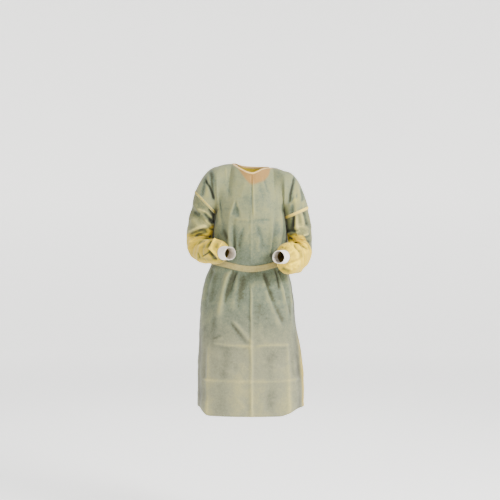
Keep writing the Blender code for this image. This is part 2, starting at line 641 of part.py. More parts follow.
def torso_grid(across, facing, lift=None):
    """All rows of a panel between its side columns, from the top line to the hem."""
    upper = upper_body(across[None, :], np.array(UPPER_ROWS)[:, None], facing)
    lower = lower_body(across[None, :], np.array(LOWER_ROWS)[:, None], facing)
    points = np.concatenate([upper, lower])
    if lift is not None:
        points = points + lift[None, :, None] * outward(points, facing)
    return points


def with_wings(points, facing, *arms):
    """A panel's points with its wings at the sides, NaN below the wings, its edges cut back."""
    parts = [points]
    for arm in arms:
        piece = np.full((len(points), WING_COLUMNS, 3), np.nan)
        piece[: len(UPPER_ROWS)] = wing(arm, facing)[:, 1:]
        parts = [piece[:, ::-1]] + parts if arm.side < 0 else parts + [piece]
    joined = np.concatenate(parts, axis=1)
    cut = np.full(joined.shape[:2], SEAM_GAP / 2)
    for arm in arms:
        armpit = stack(*section_point(90.0 * arm.side, ARMPIT), ARMPIT)
        near = np.exp(-((np.linalg.norm(joined - armpit, axis=-1) / ARMPIT_REACH) ** 2))
        cut = cut + ARMPIT_EASE * near
    return joined + facing * cut[..., None] * np.array((0.0, 1.0, 0.0))


# ---------------------------------------------------------------- the gown's pieces
def build_front(finish):
    across = body_columns(-COLUMNS_PER_HALF, COLUMNS_PER_HALF)
    points = with_wings(torso_grid(across, FORWARD), FORWARD, RIGHT_ARM, LEFT_ARM)
    cloth("front_panel", points, finish)


def build_backs(finish):
    """The outer back panel laps over the inner one."""
    across = body_columns(-COLUMNS_PER_HALF, OUTER_BACK_COLUMN)
    outer = torso_grid(across, BACKWARD, overlap_lift(across))
    cloth("back_panel_right", with_wings(outer, BACKWARD, RIGHT_ARM), finish, flip=True)
    across = body_columns(INNER_BACK_COLUMN, COLUMNS_PER_HALF)
    inner = torso_grid(across, BACKWARD)
    cloth("back_panel_left", with_wings(inner, BACKWARD, LEFT_ARM), finish, flip=True)


def build_sleeve(arm, finish, band_finish):
    """The sleeve, from just past its seam to the cuff, and the double cloth along the seam."""
    stations = np.array((SEAM_GAP / SLEEVE_LENGTH, SEAM_BAND / SLEEVE_LENGTH) + SLEEVE_STATIONS)
    points = sleeve_points(arm, stations[:, None], RING_ANGLES[None, :])
    cloth(f"sleeve_{arm.name}", points, finish, closed=True, flip=arm.side > 0)
    front, back = (wing(arm, facing)[:, -2] for facing in (FORWARD, BACKWARD))
    above = np.concatenate([front, back[-2:0:-1]])
    band = np.stack([above, armhole_ring(arm), points[1]])
    band = band - arm.side * LAY * grid_normals(band, closed=True)
    name = f"sleeve_seam_{arm.name}"
    cloth(name, band, band_finish, closed=True, flip=arm.side > 0, wall=BAND_WALL, grow=1)


def build_cuff(arm, finish):
    """A knitted tube with its ribs along it, drawn in a little towards the hand."""
    middle, across, down, along = arm_frame(arm, 1.0)
    turn = np.arange(2 * CUFF_RIBS) * np.pi / CUFF_RIBS
    place = np.linspace(0, 1, CUFF_ROWS)[:, None]
    radius = CUFF_RADIUS + (CUFF_END_RADIUS - CUFF_RADIUS) * ease(place)
    radius = radius + CUFF_RIB_HEIGHT / 2 * np.cos(turn * CUFF_RIBS)
    points = middle + (SEAM_GAP + CUFF_LENGTH * place)[..., None] * along
    points = points + (radius * np.cos(turn))[..., None] * across
    points = points - (radius * np.sin(turn))[..., None] * down
    points = points * (arm.side, 1, 1)
    cloth(f"cuff_{arm.name}", points, finish, closed=True, flip=arm.side > 0, wall=CUFF_WALL)


def build_neck_binding(finish):
    """One band round the neck edge, from the inner back panel's end to the outer one's."""
    stretches = (
        (BACKWARD, body_columns(INNER_BACK_COLUMN, NECK_COLUMN)),
        (FORWARD, body_columns(-NECK_COLUMN, NECK_COLUMN - 1)[::-1]),
        (BACKWARD, body_columns(-NECK_COLUMN + 1, OUTER_BACK_COLUMN)),
    )
    edges, aways = zip(*(neck_edge(across, facing) for facing, across in stretches))
    edge, away = np.concatenate(edges), np.concatenate(aways)
    lift = np.zeros(len(edge))
    last = len(stretches[2][1])
    lift[-last:] = overlap_lift(stretches[2][1])
    points = edge + np.linspace(0, BINDING_WIDTH, BINDING_ROWS)[:, None, None] * away
    points = points - lift[:, None] * grid_normals(points)
    cloth("neck_binding", points, finish, wall=BINDING_WALL, grow=0)


def tape_points(rows, lifts):
    """A tape from its table's rows, each lifted off the panel below it."""
    places = []
    for row, lift in zip(rows, lifts):
        across = np.linspace(row.inner_across, row.outer_across, 3)
        down = np.linspace(row.inner_row, row.outer_row, 3)
        point = upper_body(across, down, row.facing)
        beside = upper_body(across + TAPE_STEP, down, row.facing) - point
        below = upper_body(across, down + TAPE_STEP, row.facing) - point
        places.append(point - row.facing * lift * unit(np.cross(below, beside)))
    return np.array(places)


def build_neck_tape(finish):
    """The loop strip on the shoulder, and the outer back panel's hook tab pressed on it."""
    loop = TAPE_ROWS[LOOP_STRIP_ROWS]
    points = tape_points(loop, np.full(len(loop), TAPE_LAY))
    cloth("neck_loop_strip", points, finish, wall=TAPE_WALL, grow=1)
    hook = TAPE_ROWS[HOOK_TAB_ROWS]
    points = tape_points(hook, HOOK_TAB_LIFTS)
    cloth("neck_hook_tab", points, finish, wall=TAPE_WALL, grow=1)


def belt_lift(across):
    """How far the waist tie stands off behind, where it passes over the outer back panel."""
    past_edge = across - (OUTER_BACK_COLUMN + 1) / COLUMNS_PER_HALF
    return overlap_lift(across) * (1 - ease(past_edge / BELT_OVERLAP_EASE))


def build_waist_tie(finish):
    """A flat tie all round the waist, over the panels, with its knot and tails behind."""
    behind = body_columns(-COLUMNS_PER_HALF, COLUMNS_PER_HALF)
    front = body_columns(-COLUMNS_PER_HALF + 1, COLUMNS_PER_HALF - 1)
    turn = np.concatenate([across_to_turn(front, FORWARD), across_to_turn(behind[::-1], BACKWARD)])
    lift = np.concatenate([np.zeros(len(front)), belt_lift(behind[::-1])]) + LAY
    level = np.array((BELT_TOP, BELT_FOOT))[:, None]
    height = row_height(level, turn)
    points = stack(*section_point(turn, level), height)
    points = points + lift[:, None] * grid_normals(points, closed=True)
    cloth("waist_tie", points, finish, closed=True, wall=BELT_WALL, grow=1)
    build_knot(finish)


def build_knot(finish):
    """The tie's plain knot, and its two ends hanging over the back."""
    _, y = section_point(np.array(180.0), BELT_MIDDLE)
    place = Matrix.Translation((0, float(y) + KNOT_OUT + KNOT_SIZE[1] / 2, BELT_MIDDLE))
    lump = bmesh.new()
    bmesh.ops.create_cube(lump, size=1, matrix=place @ Matrix.Diagonal((*KNOT_SIZE, 1)))
    mesh = bpy.data.meshes.new("tie_knot")
    lump.to_mesh(mesh)
    lump.free()
    rounded = finished("tie_knot", mesh, finish).modifiers.new("rounded", "SUBSURF")
    rounded.levels = rounded.render_levels = 2
    for tail in TAILS:
        build_tail(tail, finish)


def build_tail(tail, finish):
    """One end of the tie, hanging from the knot clear of the back panels."""
    t = np.linspace(0, 1, TAIL_ROWS)[:, None]
    level = BELT_MIDDLE - KNOT_SIZE[2] * TAIL_START - tail.length * t
    width = TAIL_WIDTH * (TAIL_NIP + (1 - TAIL_NIP) * ease(t / TAIL_NIP_REACH))
    x = tail.start + tail.reach * t**TAIL_BEND + tail.swing * np.sin(t * np.pi * 2)
    x = x + width * np.array((-0.5, 0.0, 0.5))
    turn = 180 - np.degrees(np.arcsin(x / TAIL_RADIUS))
    _, surface = section_point(turn, level)
    out = TAIL_OUT + np.clip(fold_push(turn, level), 0, None)
    points = stack(x, surface + out, level)
    cloth(f"tie_tail_{tail.name}", points, finish, flip=True, wall=TAIL_WALL)


def build_gown():
    for old in list(bpy.data.objects):
        bpy.data.objects.remove(old, do_unlink=True)
    collection = bpy.data.collections.new("protective_gown")
    bpy.context.scene.collection.children.link(collection)
    body = material("nonwoven_body", (0.42, 0.43, 0.31), 0.85)
    sleeves = material("nonwoven_sleeve", (0.62, 0.54, 0.24), 0.85)
    double = material("nonwoven_double", (0.80, 0.72, 0.40), 0.85)
    knit = material("white_knit", (0.85, 0.80, 0.74), 0.90)
    tape = material("white_tape", (0.80, 0.76, 0.72), 0.60)
    build_front(body)
    build_backs(body)
    for arm in (RIGHT_ARM, LEFT_ARM):
        build_sleeve(arm, sleeves, double)
        build_cuff(arm, knit)
    build_neck_binding(double)
    build_neck_tape(tape)
    build_waist_tie(double)


build_gown()
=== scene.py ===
"""A worn protective gown of thin pale yellow nonwoven cloth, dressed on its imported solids.

Metres, +Z up. The front faces -Y and the gown's own left is +X. The origin lies between the
shoulders, level with the top of the shoulder line.

The body is one surface of two parameters. `across` runs from -1 at the side seam on the
gown's right to +1 at the one on the left, over the front or over the back. `row` runs from 0
at the neck and the shoulder line to 1 level with the armpits and 2 at the hem. Every panel,
strip and tape is that surface, or a sleeve's, on its own grid, lifted off along its normal.
"""

import logging
import math
from dataclasses import dataclass, field, replace
from enum import Enum
from typing import Any, NamedTuple, Sequence

import bpy
import numpy as np
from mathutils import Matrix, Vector


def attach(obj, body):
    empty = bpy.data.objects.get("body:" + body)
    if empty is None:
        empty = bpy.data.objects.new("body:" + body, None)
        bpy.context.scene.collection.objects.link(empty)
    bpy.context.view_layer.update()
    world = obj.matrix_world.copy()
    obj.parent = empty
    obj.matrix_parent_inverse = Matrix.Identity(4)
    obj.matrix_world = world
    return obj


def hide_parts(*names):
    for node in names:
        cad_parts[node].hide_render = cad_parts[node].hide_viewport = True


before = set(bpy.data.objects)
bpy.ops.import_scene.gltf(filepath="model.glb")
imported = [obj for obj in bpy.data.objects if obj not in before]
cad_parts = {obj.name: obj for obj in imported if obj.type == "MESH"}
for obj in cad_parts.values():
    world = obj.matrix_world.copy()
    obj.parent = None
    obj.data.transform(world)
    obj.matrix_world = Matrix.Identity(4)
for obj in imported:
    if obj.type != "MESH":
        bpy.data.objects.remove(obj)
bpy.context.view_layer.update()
LOG = logging.getLogger("protective_gown")
BODY = "root"
SHELL = 0.0008  # the wall of every cloth piece here, thick enough to show an edge
STEP = 0.004  # parameter step between the points that give a normal
WANDER = 0.0008  # how far a crease strays from its line
WANDER_RUN = 0.019  # over this run, times 2 pi, it strays once to and fro
WAX_RUN = 0.033  # and over this one it waxes and wanes
MM = 1000  # millimetres in a metre, the unit of the tables' lengths


class Facing(Enum):
    """The side of the body that a panel covers; the value is the sign of its y."""

    FRONT = -1
    BACK = 1


class Side(Enum):
    """A side of the body; the value is the sign of its x."""

    RIGHT = -1
    LEFT = 1


class Form(Enum):
    """How a crease stands in the cloth."""

    SHARP = "sharp"
    SOFT = "soft"
    STEP = "step"


# ---------------------------------------------------------------- small tools
def ease(t: Any) -> np.ndarray:
    """A smooth step: 0 below 0, 1 above 1, and 3t^2 - 2t^3 between."""
    t = np.clip(t, 0, 1)
    return t * t * (3 - 2 * t)


def smooth_through(knots: Sequence[float], values: Sequence[float], at: Any) -> np.ndarray:
    """Reads a cubic Hermite curve whose slopes are the knots' central differences.

    Args:
        knots: rising places.
        values: the curve's value at each knot.
        at: the places to read it at.

    Returns:
        The values there, held level past both ends.
    """
    knots, values = np.asarray(knots, float), np.asarray(values, float)
    slopes = np.gradient(values, knots)
    first = np.clip(np.searchsorted(knots, at) - 1, 0, len(knots) - 2)
    span = knots[first + 1] - knots[first]
    t = (np.clip(at, knots[0], knots[-1]) - knots[first]) / span
    last = first + 1
    start = (1 + 2 * t) * (1 - t) ** 2 * values[first] + t * (1 - t) ** 2 * span * slopes[first]
    return start + t**2 * (3 - 2 * t) * values[last] - t**2 * (1 - t) * span * slopes[last]


def read_table(table: Sequence[Any], key: str, column: str, at: Any) -> np.ndarray:
    """Reads one named column of a table smoothly along another."""
    order = sorted(table, key=lambda row: getattr(row, key))
    knots = [getattr(row, key) for row in order]
    return smooth_through(knots, [getattr(row, column) for row in order], np.asarray(at, float))


def signed_power(value: Any, power: Any) -> np.ndarray:
    """A number's size raised to a power, with the sign it had."""
    return np.sign(value) * np.abs(value) ** power


def wrapped(angle: Any) -> np.ndarray:
    """Degrees brought between -180 and 180."""
    return (angle + 180) % 360 - 180


def spread(first: Any, second: Any) -> list:
    """Two arrays of numbers brought to the shape that they share."""
    return np.broadcast_arrays(np.asarray(first, float), np.asarray(second, float))


def stack(x: Any, y: Any, z: Any) -> np.ndarray:
    """Puts three arrays that broadcast together into points."""
    return np.stack(np.broadcast_arrays(x, y, z), axis=-1).astype(float)


def rows(kind: Any, units: tuple, *values: tuple) -> tuple:
    """A table of one kind of row; units says how many of a column's own make one of ours."""
    return tuple(
        kind(*(value / unit if unit > 1 else value for value, unit in zip(row, units)))
        for row in values
    )


def unit(vectors: Any) -> np.ndarray:
    """Scales vectors to length 1."""
    vectors = np.asarray(vectors, float)
    return vectors / np.maximum(np.linalg.norm(vectors, axis=-1, keepdims=True), 1e-12)


def near_line(u: Any, v: Any, start: tuple, end: tuple, bow: float) -> tuple:
    """Measures from places to a line that bows aside by a half sine.

    Args:
        u: first coordinates of the places, in metres on the cloth.
        v: second coordinates.
        start: the line's first end.
        end: its last end.
        bow: how far its middle stands aside.

    Returns:
        The distance from the line, and the share along it, 0 to 1 between its ends.
    """
    run = np.subtract(end, start)
    length = math.hypot(*run)
    along = ((u - start[0]) * run[0] + (v - start[1]) * run[1]) / length**2
    aside = ((u - start[0]) * run[1] - (v - start[1]) * run[0]) / length
    aside = aside - bow * np.sin(np.clip(along, 0, 1) * np.pi)
    return aside, along


# ---------------------------------------------------------------- relief of the cloth
@dataclass(frozen=True)
class Facets:
    """Flat facets with sharp edges, as thin cloth keeps them after it was packed.

    They are worked out in space and read on the cloth, so they run on over every seam.
    """

    cell: float  # a facet's size, in metres
    height: float
    seed: int
    calm: float = 0.35  # the share of the height that is left in the calmest patches
    patch: float = 0.16  # the size of calm and crumpled patches, in metres
    table: int = 24  # seeds repeat after this many cells

    def at(self, points: np.ndarray) -> np.ndarray:
        """Height of the facets.

        One seed lies at random in each cube of space. The height is the difference between the
        squares of the distances to the nearest two seeds, which is a plane between any two
        seeds and 0 on the border between them. A seed's own sign makes it a dent or a bump.
        Slow waves along the three axes make some patches calmer than others.

        Args:
            points: places on the smooth cloth, NaN where there is none.

        Returns:
            Heights in metres, one for each point.
        """
        seeds = np.random.default_rng(self.seed).random((self.table,) * 3 + (4,))
        place = np.nan_to_num(points) / self.cell
        home = np.floor(place).astype(int)
        nearest, second = np.full(place.shape[:-1], np.inf), np.full(place.shape[:-1], np.inf)
        sign = np.zeros(nearest.shape)
        for step in np.ndindex(3, 3, 3):
            cube = home + np.array(step) - 1
            seed = seeds[tuple(np.moveaxis(cube % self.table, -1, 0))]
            away = ((cube + seed[..., :3] - place) ** 2).sum(axis=-1)
            closer = away < nearest
            second = np.where(closer, nearest, np.minimum(second, away))
            sign = np.where(closer, np.sign(seed[..., 3] - 0.4), sign)
            nearest = np.where(closer, away, nearest)
        wave = np.nan_to_num(points) / self.patch * 2 * np.pi + self.seed
        drift = np.sin(wave + 1.3 * np.sin(np.roll(wave, 1, axis=-1))).sum(axis=-1) / 3
        amount = self.calm + (1 - self.calm) * ease(0.5 + 0.8 * drift)
        return self.height * sign * np.minimum(second - nearest, 1.0) * amount


class Crease(NamedTuple):
    """A line on the cloth that stands out (push over 0) or in, from one end to the other."""

    u1: float
    v1: float
    u2: float
    v2: float
    push: float
    width: float
    bow: float = 0.0
    form: Form = Form.SHARP


def relief(creases: Sequence[Crease], u: np.ndarray, v: np.ndarray, scale: tuple) -> np.ndarray:
    """Adds up creases.

    With t the distance over the width, a sharp one falls off as exp(-t), rounded at its very
    top, and a soft one as the bell exp(-t^2). A step is a ridge with a groove beside it,
    t exp((1 - t^2) / 2), whose steep side faces the line. All fade in over the first and last
    fifth of their length, widen towards their end, wander by a slow sine and wax and wane by
    another.

    Args:
        creases: the lines, in the table's own units.
        u: places round the cloth, in the same unit.
        v: places along it, in the same unit.
        scale: metres for one unit of u and of v.

    Returns:
        Heights in metres.
    """
    total = np.zeros(np.broadcast(u, v).shape)
    u, v = u * scale[0], v * scale[1]
    for number, crease in enumerate(creases):
        ends = np.multiply(((crease.u1, crease.v1), (crease.u2, crease.v2)), scale)
        aside, along = near_line(u, v, *ends, crease.bow)
        run = along * math.dist(*ends)
        aside = aside + WANDER * np.sin(run / WANDER_RUN + 2.4 * number)
        far = aside / (crease.width * (0.8 + 0.4 * np.clip(along, 0, 1)))
        if crease.form is Form.SOFT:
            shape = np.exp(-(far**2))
        elif crease.form is Form.STEP:
            shape = far * np.exp((1 - far**2) / 2)
        else:
            shape = np.exp(0.3 - np.hypot(far, 0.3))
        uneven = 0.85 + 0.25 * np.sin(run / WAX_RUN + 4.1 * number)
        total += crease.push * uneven * shape * ease(along / 0.2) * ease((1 - along) / 0.2)
    return total


def clearance_and_painted_light(creased: np.ndarray, faceted: np.ndarray, push: Any = 0.0) -> np.ndarray:
    """How much further than usual the cloth stands off what lies under it.

    It is a sum of shares of the creases', the facets' and the large folds' heights. The larger
    a form, the more of its height is air. The same sum paints light and shade into the tone:
    grooves, dents and pushed-in folds get painted shade, and ridges and crests a painted highlight.
    """
    # Painted light: grooves lower this value, painted shade, and crests raise it, painted
    # highlight.
    return creased / 0.007 + faceted / 0.011 + push / 0.040


# ---------------------------------------------------------------- tables of the shape
class Level(NamedTuple):
    """The body's section at a height: its reach each way, and how square it is (2: ellipse)."""

    height: float
    right: float
    left: float
    front: float
    back: float
    square: float


class NeckPoint(NamedTuple):
    """A point of the bound neck edge; across is -1 and 1 at the two neck points."""

    across: float
    x: float
    y: float
    z: float


class Column(NamedTuple):
    """How the cloth leaves the top line and comes down to the armpit's height."""

    across: float
    roll: float
    drop: float
    bulge: float
    rise: float


class Fold(NamedTuple):
    """A large fold of the body from its root to its tip, in degrees round it and heights."""

    root_turn: float
    tip_turn: float
    root: float
    tip: float
    push: float
    width: float


class Glimpse(NamedTuple):
    """A point of the line that parts cloth over a dark layer from cloth that isn't."""

    x: float
    low: float


class Hang(NamedTuple):
    """How clear the cloth hangs at a height, 0 touching to 1 free: in the middle and beside.

    The lower values beside also paint the body's sides darker, partly painted shade.
    """

    height: float
    clear: float
    beside: float


class SleeveSection(NamedTuple):
    """A sleeve's half width, its reach towards the crook and the elbow, and its squareness."""

    station: float
    across: float
    crook: float
    elbow: float
    square: float


class SleeveFold(NamedTuple):
    """A fold across a sleeve, slanting over a half turn, about its middle."""

    station: float
    angle: float
    slant: float
    reach: float
    push: float
    width: float


@dataclass
class Arm:
    """One sleeve's surface: straight to the elbow, round it on an arc, straight to the wrist.

    It is measured as if it were the left one and mirrored by its side.
    """

    side: Side
    shoulder: tuple
    armhole: tuple
    elbow: tuple
    wrist: tuple
    tilt: float  # slant of the sleeve seam
    rise: float  # of the point that bows a wing, above the seam at the shoulder line
    inset: float
    sections: tuple
    folds: tuple
    fine_folds: tuple
    front: tuple  # creases of the front, of the wing too, by x and z
    creases: tuple  # those of the hidden sides, by angle and station
    wing_creases: tuple
    facets: tuple
    show_line: tuple  # the heights below which only the yellow cloth itself shows
    seam_clear: float  # how clear of that layer the seam's double cloth stands
    hang: float = 0.42  # how clear of the layer under it the sleeve hangs
    bright: float = 0.0  # how much further it stands off below that line: a painted lightening, more light on this forearm
    # The creases' change of tone is painted shade in grooves and painted highlight on crests.
    crease_light_gain: float = 1.9  # how much more its creases change the tone than the body's do
    bend_radius: float = 0.066
    tilt_reach: float = 0.30
    length: float = 0.39  # turns a station's share into a distance
    girth: float = 0.33  # turns an angle's share of a turn into one
    plain: float = 0.03
    fold_fade: float = 0.08
    gather_depth: float = 0.0022
    gathers: int = 9
    gather_start: float = 0.90
    gather_growth: float = 0.05
    gather_end: float = 0.02
    plain_ends: float = 0.04  # the share at either end that the creases leave plain

    @property
    def name(self) -> str:
        """The side's word in the pieces' names."""
        return self.side.name.lower()

    def mirror(self) -> np.ndarray:
        """Factors that put a point on this arm's side."""
        return np.array((self.side.value, 1, 1))

    def frame(self, station: Any) -> tuple:
        """The sleeve's middle line and its three directions.

        Two straight lines are joined by an arc of bend_radius. `across` is level with the
        bend's axis all along, and `down` is across x along.

        Args:
            station: places along the sleeve, 0 at its seam and 1 at the cuff.

        Returns:
            Middles, across, down and along, each with the shape of station plus 3.
        """
        armhole, elbow, wrist = (np.array(p) for p in (self.armhole, self.elbow, self.wrist))
        first, second = unit(elbow - armhole), unit(wrist - elbow)
        bend = math.acos(float(np.clip(first @ second, -1, 1)))
        cut = self.bend_radius * math.tan(bend / 2)
        straight = np.linalg.norm(elbow - armhole) - cut
        arc = self.bend_radius * bend
        last = np.linalg.norm(wrist - elbow) - cut
        place = np.asarray(station, float)[..., None] * (straight + arc + last)
        turned = np.clip((place - straight) / self.bend_radius, 0, bend)
        towards = unit(second - (second @ first) * first)
        middle = armhole + first * np.minimum(place, straight)
        middle = middle + self.bend_radius * (
            np.sin(turned) * first + (1 - np.cos(turned)) * towards
        )
        middle = middle + second * np.maximum(place - straight - arc, 0)
        along = np.cos(turned) * first + np.sin(turned) * towards
        across = np.broadcast_to(-unit(np.cross(first, second)), along.shape)
        return middle, across, np.cross(across, along), along

    def fold_push(self, station: np.ndarray, angle: np.ndarray) -> np.ndarray:
        """Bells across the sleeve, one for each fold, fading round the arm and at its ends."""
        push = np.zeros(np.broadcast(station, angle).shape)
        for fold in self.folds + self.fine_folds:
            aside = wrapped(angle - fold.angle)
            middle = fold.station + fold.slant * aside / 180
            far = (station - middle) * self.length / fold.width
            push += fold.push * np.exp(-((aside / fold.reach) ** 2) - far**2)
        start = ease((station - self.plain) / self.fold_fade)
        return push * start * ease((1 - station) / self.fold_fade)

    def point(self, station: Any, angle: Any) -> np.ndarray:
        """The sleeve's smooth cloth with its folds.

        A squared ellipse about the middle line: across x cosine, and the crook's or the
        elbow's reach x sine, both raised to 2 / squareness.

        Args:
            station: places along the sleeve.
            angle: degrees, 0 on the arm's outer line and 90 at the front.

        Returns:
            Points in the object's frame.
        """
        station, angle = spread(station, angle)
        middle, across, down, along = self.frame(station)
        _, start_across, start_down, _ = self.frame(0.0)
        turn = np.arctan2(start_down[0], start_across[0]) - np.radians(angle)
        width, crook, elbow, square = (
            read_table(self.sections, "station", name, station)
            for name in ("across", "crook", "elbow", "square")
        )
        push = self.fold_push(station, wrapped(angle))
        gather = np.cos(np.radians(angle) * self.gathers) * self.gather_depth
        gather = gather * ease((station - self.gather_start) / self.gather_growth)
        push = push + gather * ease((1 - station) / self.gather_end)
        reach = np.where(np.sin(turn) > 0, elbow, crook) + push
        cosine = signed_power(np.cos(turn), 2 / square)
        sine = signed_power(np.sin(turn), 2 / square)
        points = middle + ((width + push) * cosine)[..., None] * across
        points = points + (reach * sine)[..., None] * down
        slope = self.tilt * np.cos(np.radians(angle)) * (1 - ease(station / self.tilt_reach))
        return (points - slope[..., None] * along) * self.mirror()

    def normal(self, station: np.ndarray, angle: np.ndarray) -> np.ndarray:
        """Outward normals, from the points a small step further round and along."""
        here = self.point(station, angle)
        round_it = self.point(station, angle + 360 * STEP) - here
        along = self.point(station + STEP, angle) - here
        return unit(np.cross(along, round_it)) * -self.side.value

    def front_relief(self, points: np.ndarray, normal: np.ndarray) -> np.ndarray:
        """Height of the front's creases, which fade where the cloth turns away from the front."""
        return relief(self.front, points[..., 0], points[..., 2], (1.0, 1.0)) * ease(
            (-normal[..., 1] - 0.02) / 0.3
        )

    def detail(self, points: np.ndarray, normal: np.ndarray, station: Any, angle: Any) -> tuple:
        """Height of the creases and facets, none at the seam and at the cuff, and its clearance,
        with painted light.
        """
        scale = (self.girth / 360, self.length)
        creased = relief(self.creases, angle, station, scale) + self.front_relief(points, normal)
        faceted = sum(facets.at(points) for facets in self.facets)
        share = ease(station / self.plain_ends) * ease((1 - station) / self.plain_ends)
        push = self.fold_push(station, angle)
        return (creased + faceted) * share, clearance_and_painted_light(creased * self.crease_light_gain, faceted, push)

    def surface(self, station: Any, angle: Any, lift: Any = 0.0) -> tuple:
        """The finished cloth at a lift along its normal, and its clearance, with painted light."""
        station, angle = spread(station, angle)
        angle = wrapped(angle)
        points, normal = self.point(station, angle), self.normal(station, angle)
        height, clear = self.detail(points, normal, station, angle)
        return points + normal * (height + lift)[..., None], clear


@dataclass
class Body:
    """The gown's body: neck, shoulders, waist and skirt, with its two wings."""

    arms: tuple
    levels: tuple
    folds: tuple
    front_neck: tuple
    back_neck: tuple
    front_columns: tuple
    back_columns: tuple
    creases: dict
    facets: tuple
    hang: tuple
    columns_per_half: int = 15
    neck_column: int = 8
    upper_rows: tuple = (0.0, 0.045, 0.145, 0.26, 0.38, 0.50, 0.62, 0.74, 0.87, 1.0)
    armpit: float = -0.195
    belt_top: float = -0.405
    belt_foot: float = -0.431
    hem: float = -1.075
    sag: float = 0.034
    sag_reach: float = 0.09
    hem_rise: float = 0.028
    hem_rise_behind: float = 0.012
    hem_rise_top: float = -0.85
    hem_side_start: tuple = (0.77, 0.60)
    hem_side_span: tuple = (0.19, 0.30)
    neck_centre: tuple = (0.007, 0.0)
    lean_side: float = 12.0
    lean_middle: float = 58.0
    binding_width: float = 0.0085
    shoulder_arch: float = 0.0035
    fold_radius: float = 0.16
    fold_root_fade: float = 0.014
    belt_press: float = 0.022
    belt_groove: float = 0.3
    belt_clear: float = 0.001
    fold_top_fade: float = 0.3
    centre_crease: float = 0.0022
    centre_width: float = 0.006
    centre_top: float = -0.060
    centre_fade: float = 0.050
    overlap_lift: float = 0.0036
    overlap_ease: float = 0.12
    wing_rise_under: float = 0.012
    wing_rise_power: float = 1.5
    wing_width: float = 0.085  # turns `out` and a turn round the arm into distances
    wing_girth: float = 0.36
    wing_calm: tuple = (0.3, 0.1)  # the shares of a wing that stay plain at its two ends
    calm_rows: float = 0.12  # the share of the rows below the top line that stays plain
    side_arc: float = 0.30
    seam_width: float = 0.003
    seam_dent: float = 0.0006

    @property
    def neck_span(self) -> float:
        """The across of the neck point."""
        return self.neck_column / self.columns_per_half

    @property
    def belt_middle(self) -> float:
        """The height of the waist tie's middle at the side seams."""
        return (self.belt_top + self.belt_foot) / 2

    def turn(self, across: Any, facing: Facing) -> np.ndarray:
        """Degrees round the body, 0 in front and 90 at the gown's left."""
        across = np.asarray(across, float)
        if facing is Facing.FRONT:
            return 90 * across
        return np.where(across < 0, -180 - 90 * across, 180 - 90 * across)

    def section(self, turn: Any, height: Any) -> tuple:
        """x and y of the squared ellipse of a height, read by its polar angle."""
        angle = np.radians(turn)
        sine, cosine = np.sin(angle), np.cos(angle)
        right, left, front, back, square = (
            read_table(self.levels, "height", name, height)
            for name in ("right", "left", "front", "back", "square")
        )
        side = np.where(sine > 0, left, right)
        depth = np.where(cosine > 0, front, back)
        reach = (np.abs(sine) / side) ** square + (np.abs(cosine) / depth) ** square
        reach = reach ** (-1 / square)
        return reach * sine, -reach * cosine

    def belt_sag(self, turn: Any) -> np.ndarray:
        """How far the waist tie droops in front: the square of the turn's cosine."""
        return self.sag * np.clip(np.cos(np.radians(turn)), 0, None) ** 2

    def row_height(self, level: Any, turn: Any) -> np.ndarray:
        """A row's height: it droops beside the tie and climbs at the sides of the hem."""
        beside = np.exp(-(((level - self.belt_middle) / self.sag_reach) ** 2))
        sine = np.sin(np.radians(turn))
        start, span = (np.where(sine < 0, *s) for s in (self.hem_side_start, self.hem_side_span))
        sideways = ease((np.abs(sine) - start) / span)
        middle = np.where(np.cos(np.radians(turn)) > 0, 0, self.hem_rise_behind)
        rise = middle + (self.hem_rise - middle) * sideways
        share = ease((level - self.hem_rise_top) / (self.hem - self.hem_rise_top))
        return level - self.belt_sag(turn) * beside + rise * share

    def free(self, turn: Any, height: Any) -> np.ndarray:
        """0 under the waist tie and 1 where it no longer presses on the cloth."""
        away = np.abs(height - self.belt_middle + self.belt_sag(turn))
        half = (self.belt_top - self.belt_foot) / 2
        return ease((away - half - self.belt_clear) / self.belt_press)

    def fold_push(self, turn: Any, height: Any) -> np.ndarray:
        """Bells across each large fold, which fade from its root to its tip."""
        push = np.zeros(np.broadcast(turn, height).shape)
        free = self.free(turn, height)
        for fold in self.folds:
            share = (height - fold.root) / (fold.tip - fold.root)
            middle = fold.root_turn + (fold.tip_turn - fold.root_turn) * np.clip(share, 0, 1)
            aside = np.radians(wrapped(turn - middle)) * self.fold_radius
            before = np.exp(-((share * (fold.tip - fold.root) / self.fold_root_fade) ** 2))
            fade = np.where(share < 0, before, 1 - ease(share))
            kept = free if fold.push > 0 else self.belt_groove + (1 - self.belt_groove) * free
            push += fold.push * kept * fade * np.exp(-((aside / fold.width) ** 2))
        middle = np.exp(-((np.radians(turn) * self.fold_radius / self.centre_width) ** 2))
        below = ease((self.centre_top - height) / self.centre_fade)
        return push + self.centre_crease * middle * free * below

    def neck_edge(self, across: Any, facing: Facing) -> tuple:
        """The bound neck edge, and the direction in which the cloth slopes away from it."""
        share = np.clip(across / self.neck_span, -1, 1)
        table = self.front_neck if facing is Facing.FRONT else self.back_neck
        edge = stack(*(read_table(table, "across", axis, share) for axis in "xyz"))
        level = unit(edge[..., :2] - np.array(self.neck_centre))
        steep = (self.lean_middle - self.lean_side) * np.cos(share * np.pi / 2) ** 2
        lean = np.radians(self.lean_side + steep)
        away = stack(level[..., 0] * np.cos(lean), level[..., 1] * np.cos(lean), -np.sin(lean))
        return edge, away

    def top_line(self, across: np.ndarray, facing: Facing) -> np.ndarray:
        """The upper edge: beside the binding at the neck, then bowed along the shoulder."""
        edge, away = self.neck_edge(across, facing)
        bound = edge + away * self.binding_width
        ends = [np.array(arm.shoulder) * arm.mirror() for arm in self.arms]
        end = np.where(across[..., None] < 0, ends[0], ends[1])
        out = np.clip((np.abs(across) - self.neck_span) / (1 - self.neck_span), 0, 1)[..., None]
        arch = np.array((0.0, 0.0, self.shoulder_arch)) * np.sin(out * np.pi)
        return bound + (end - bound) * out + arch

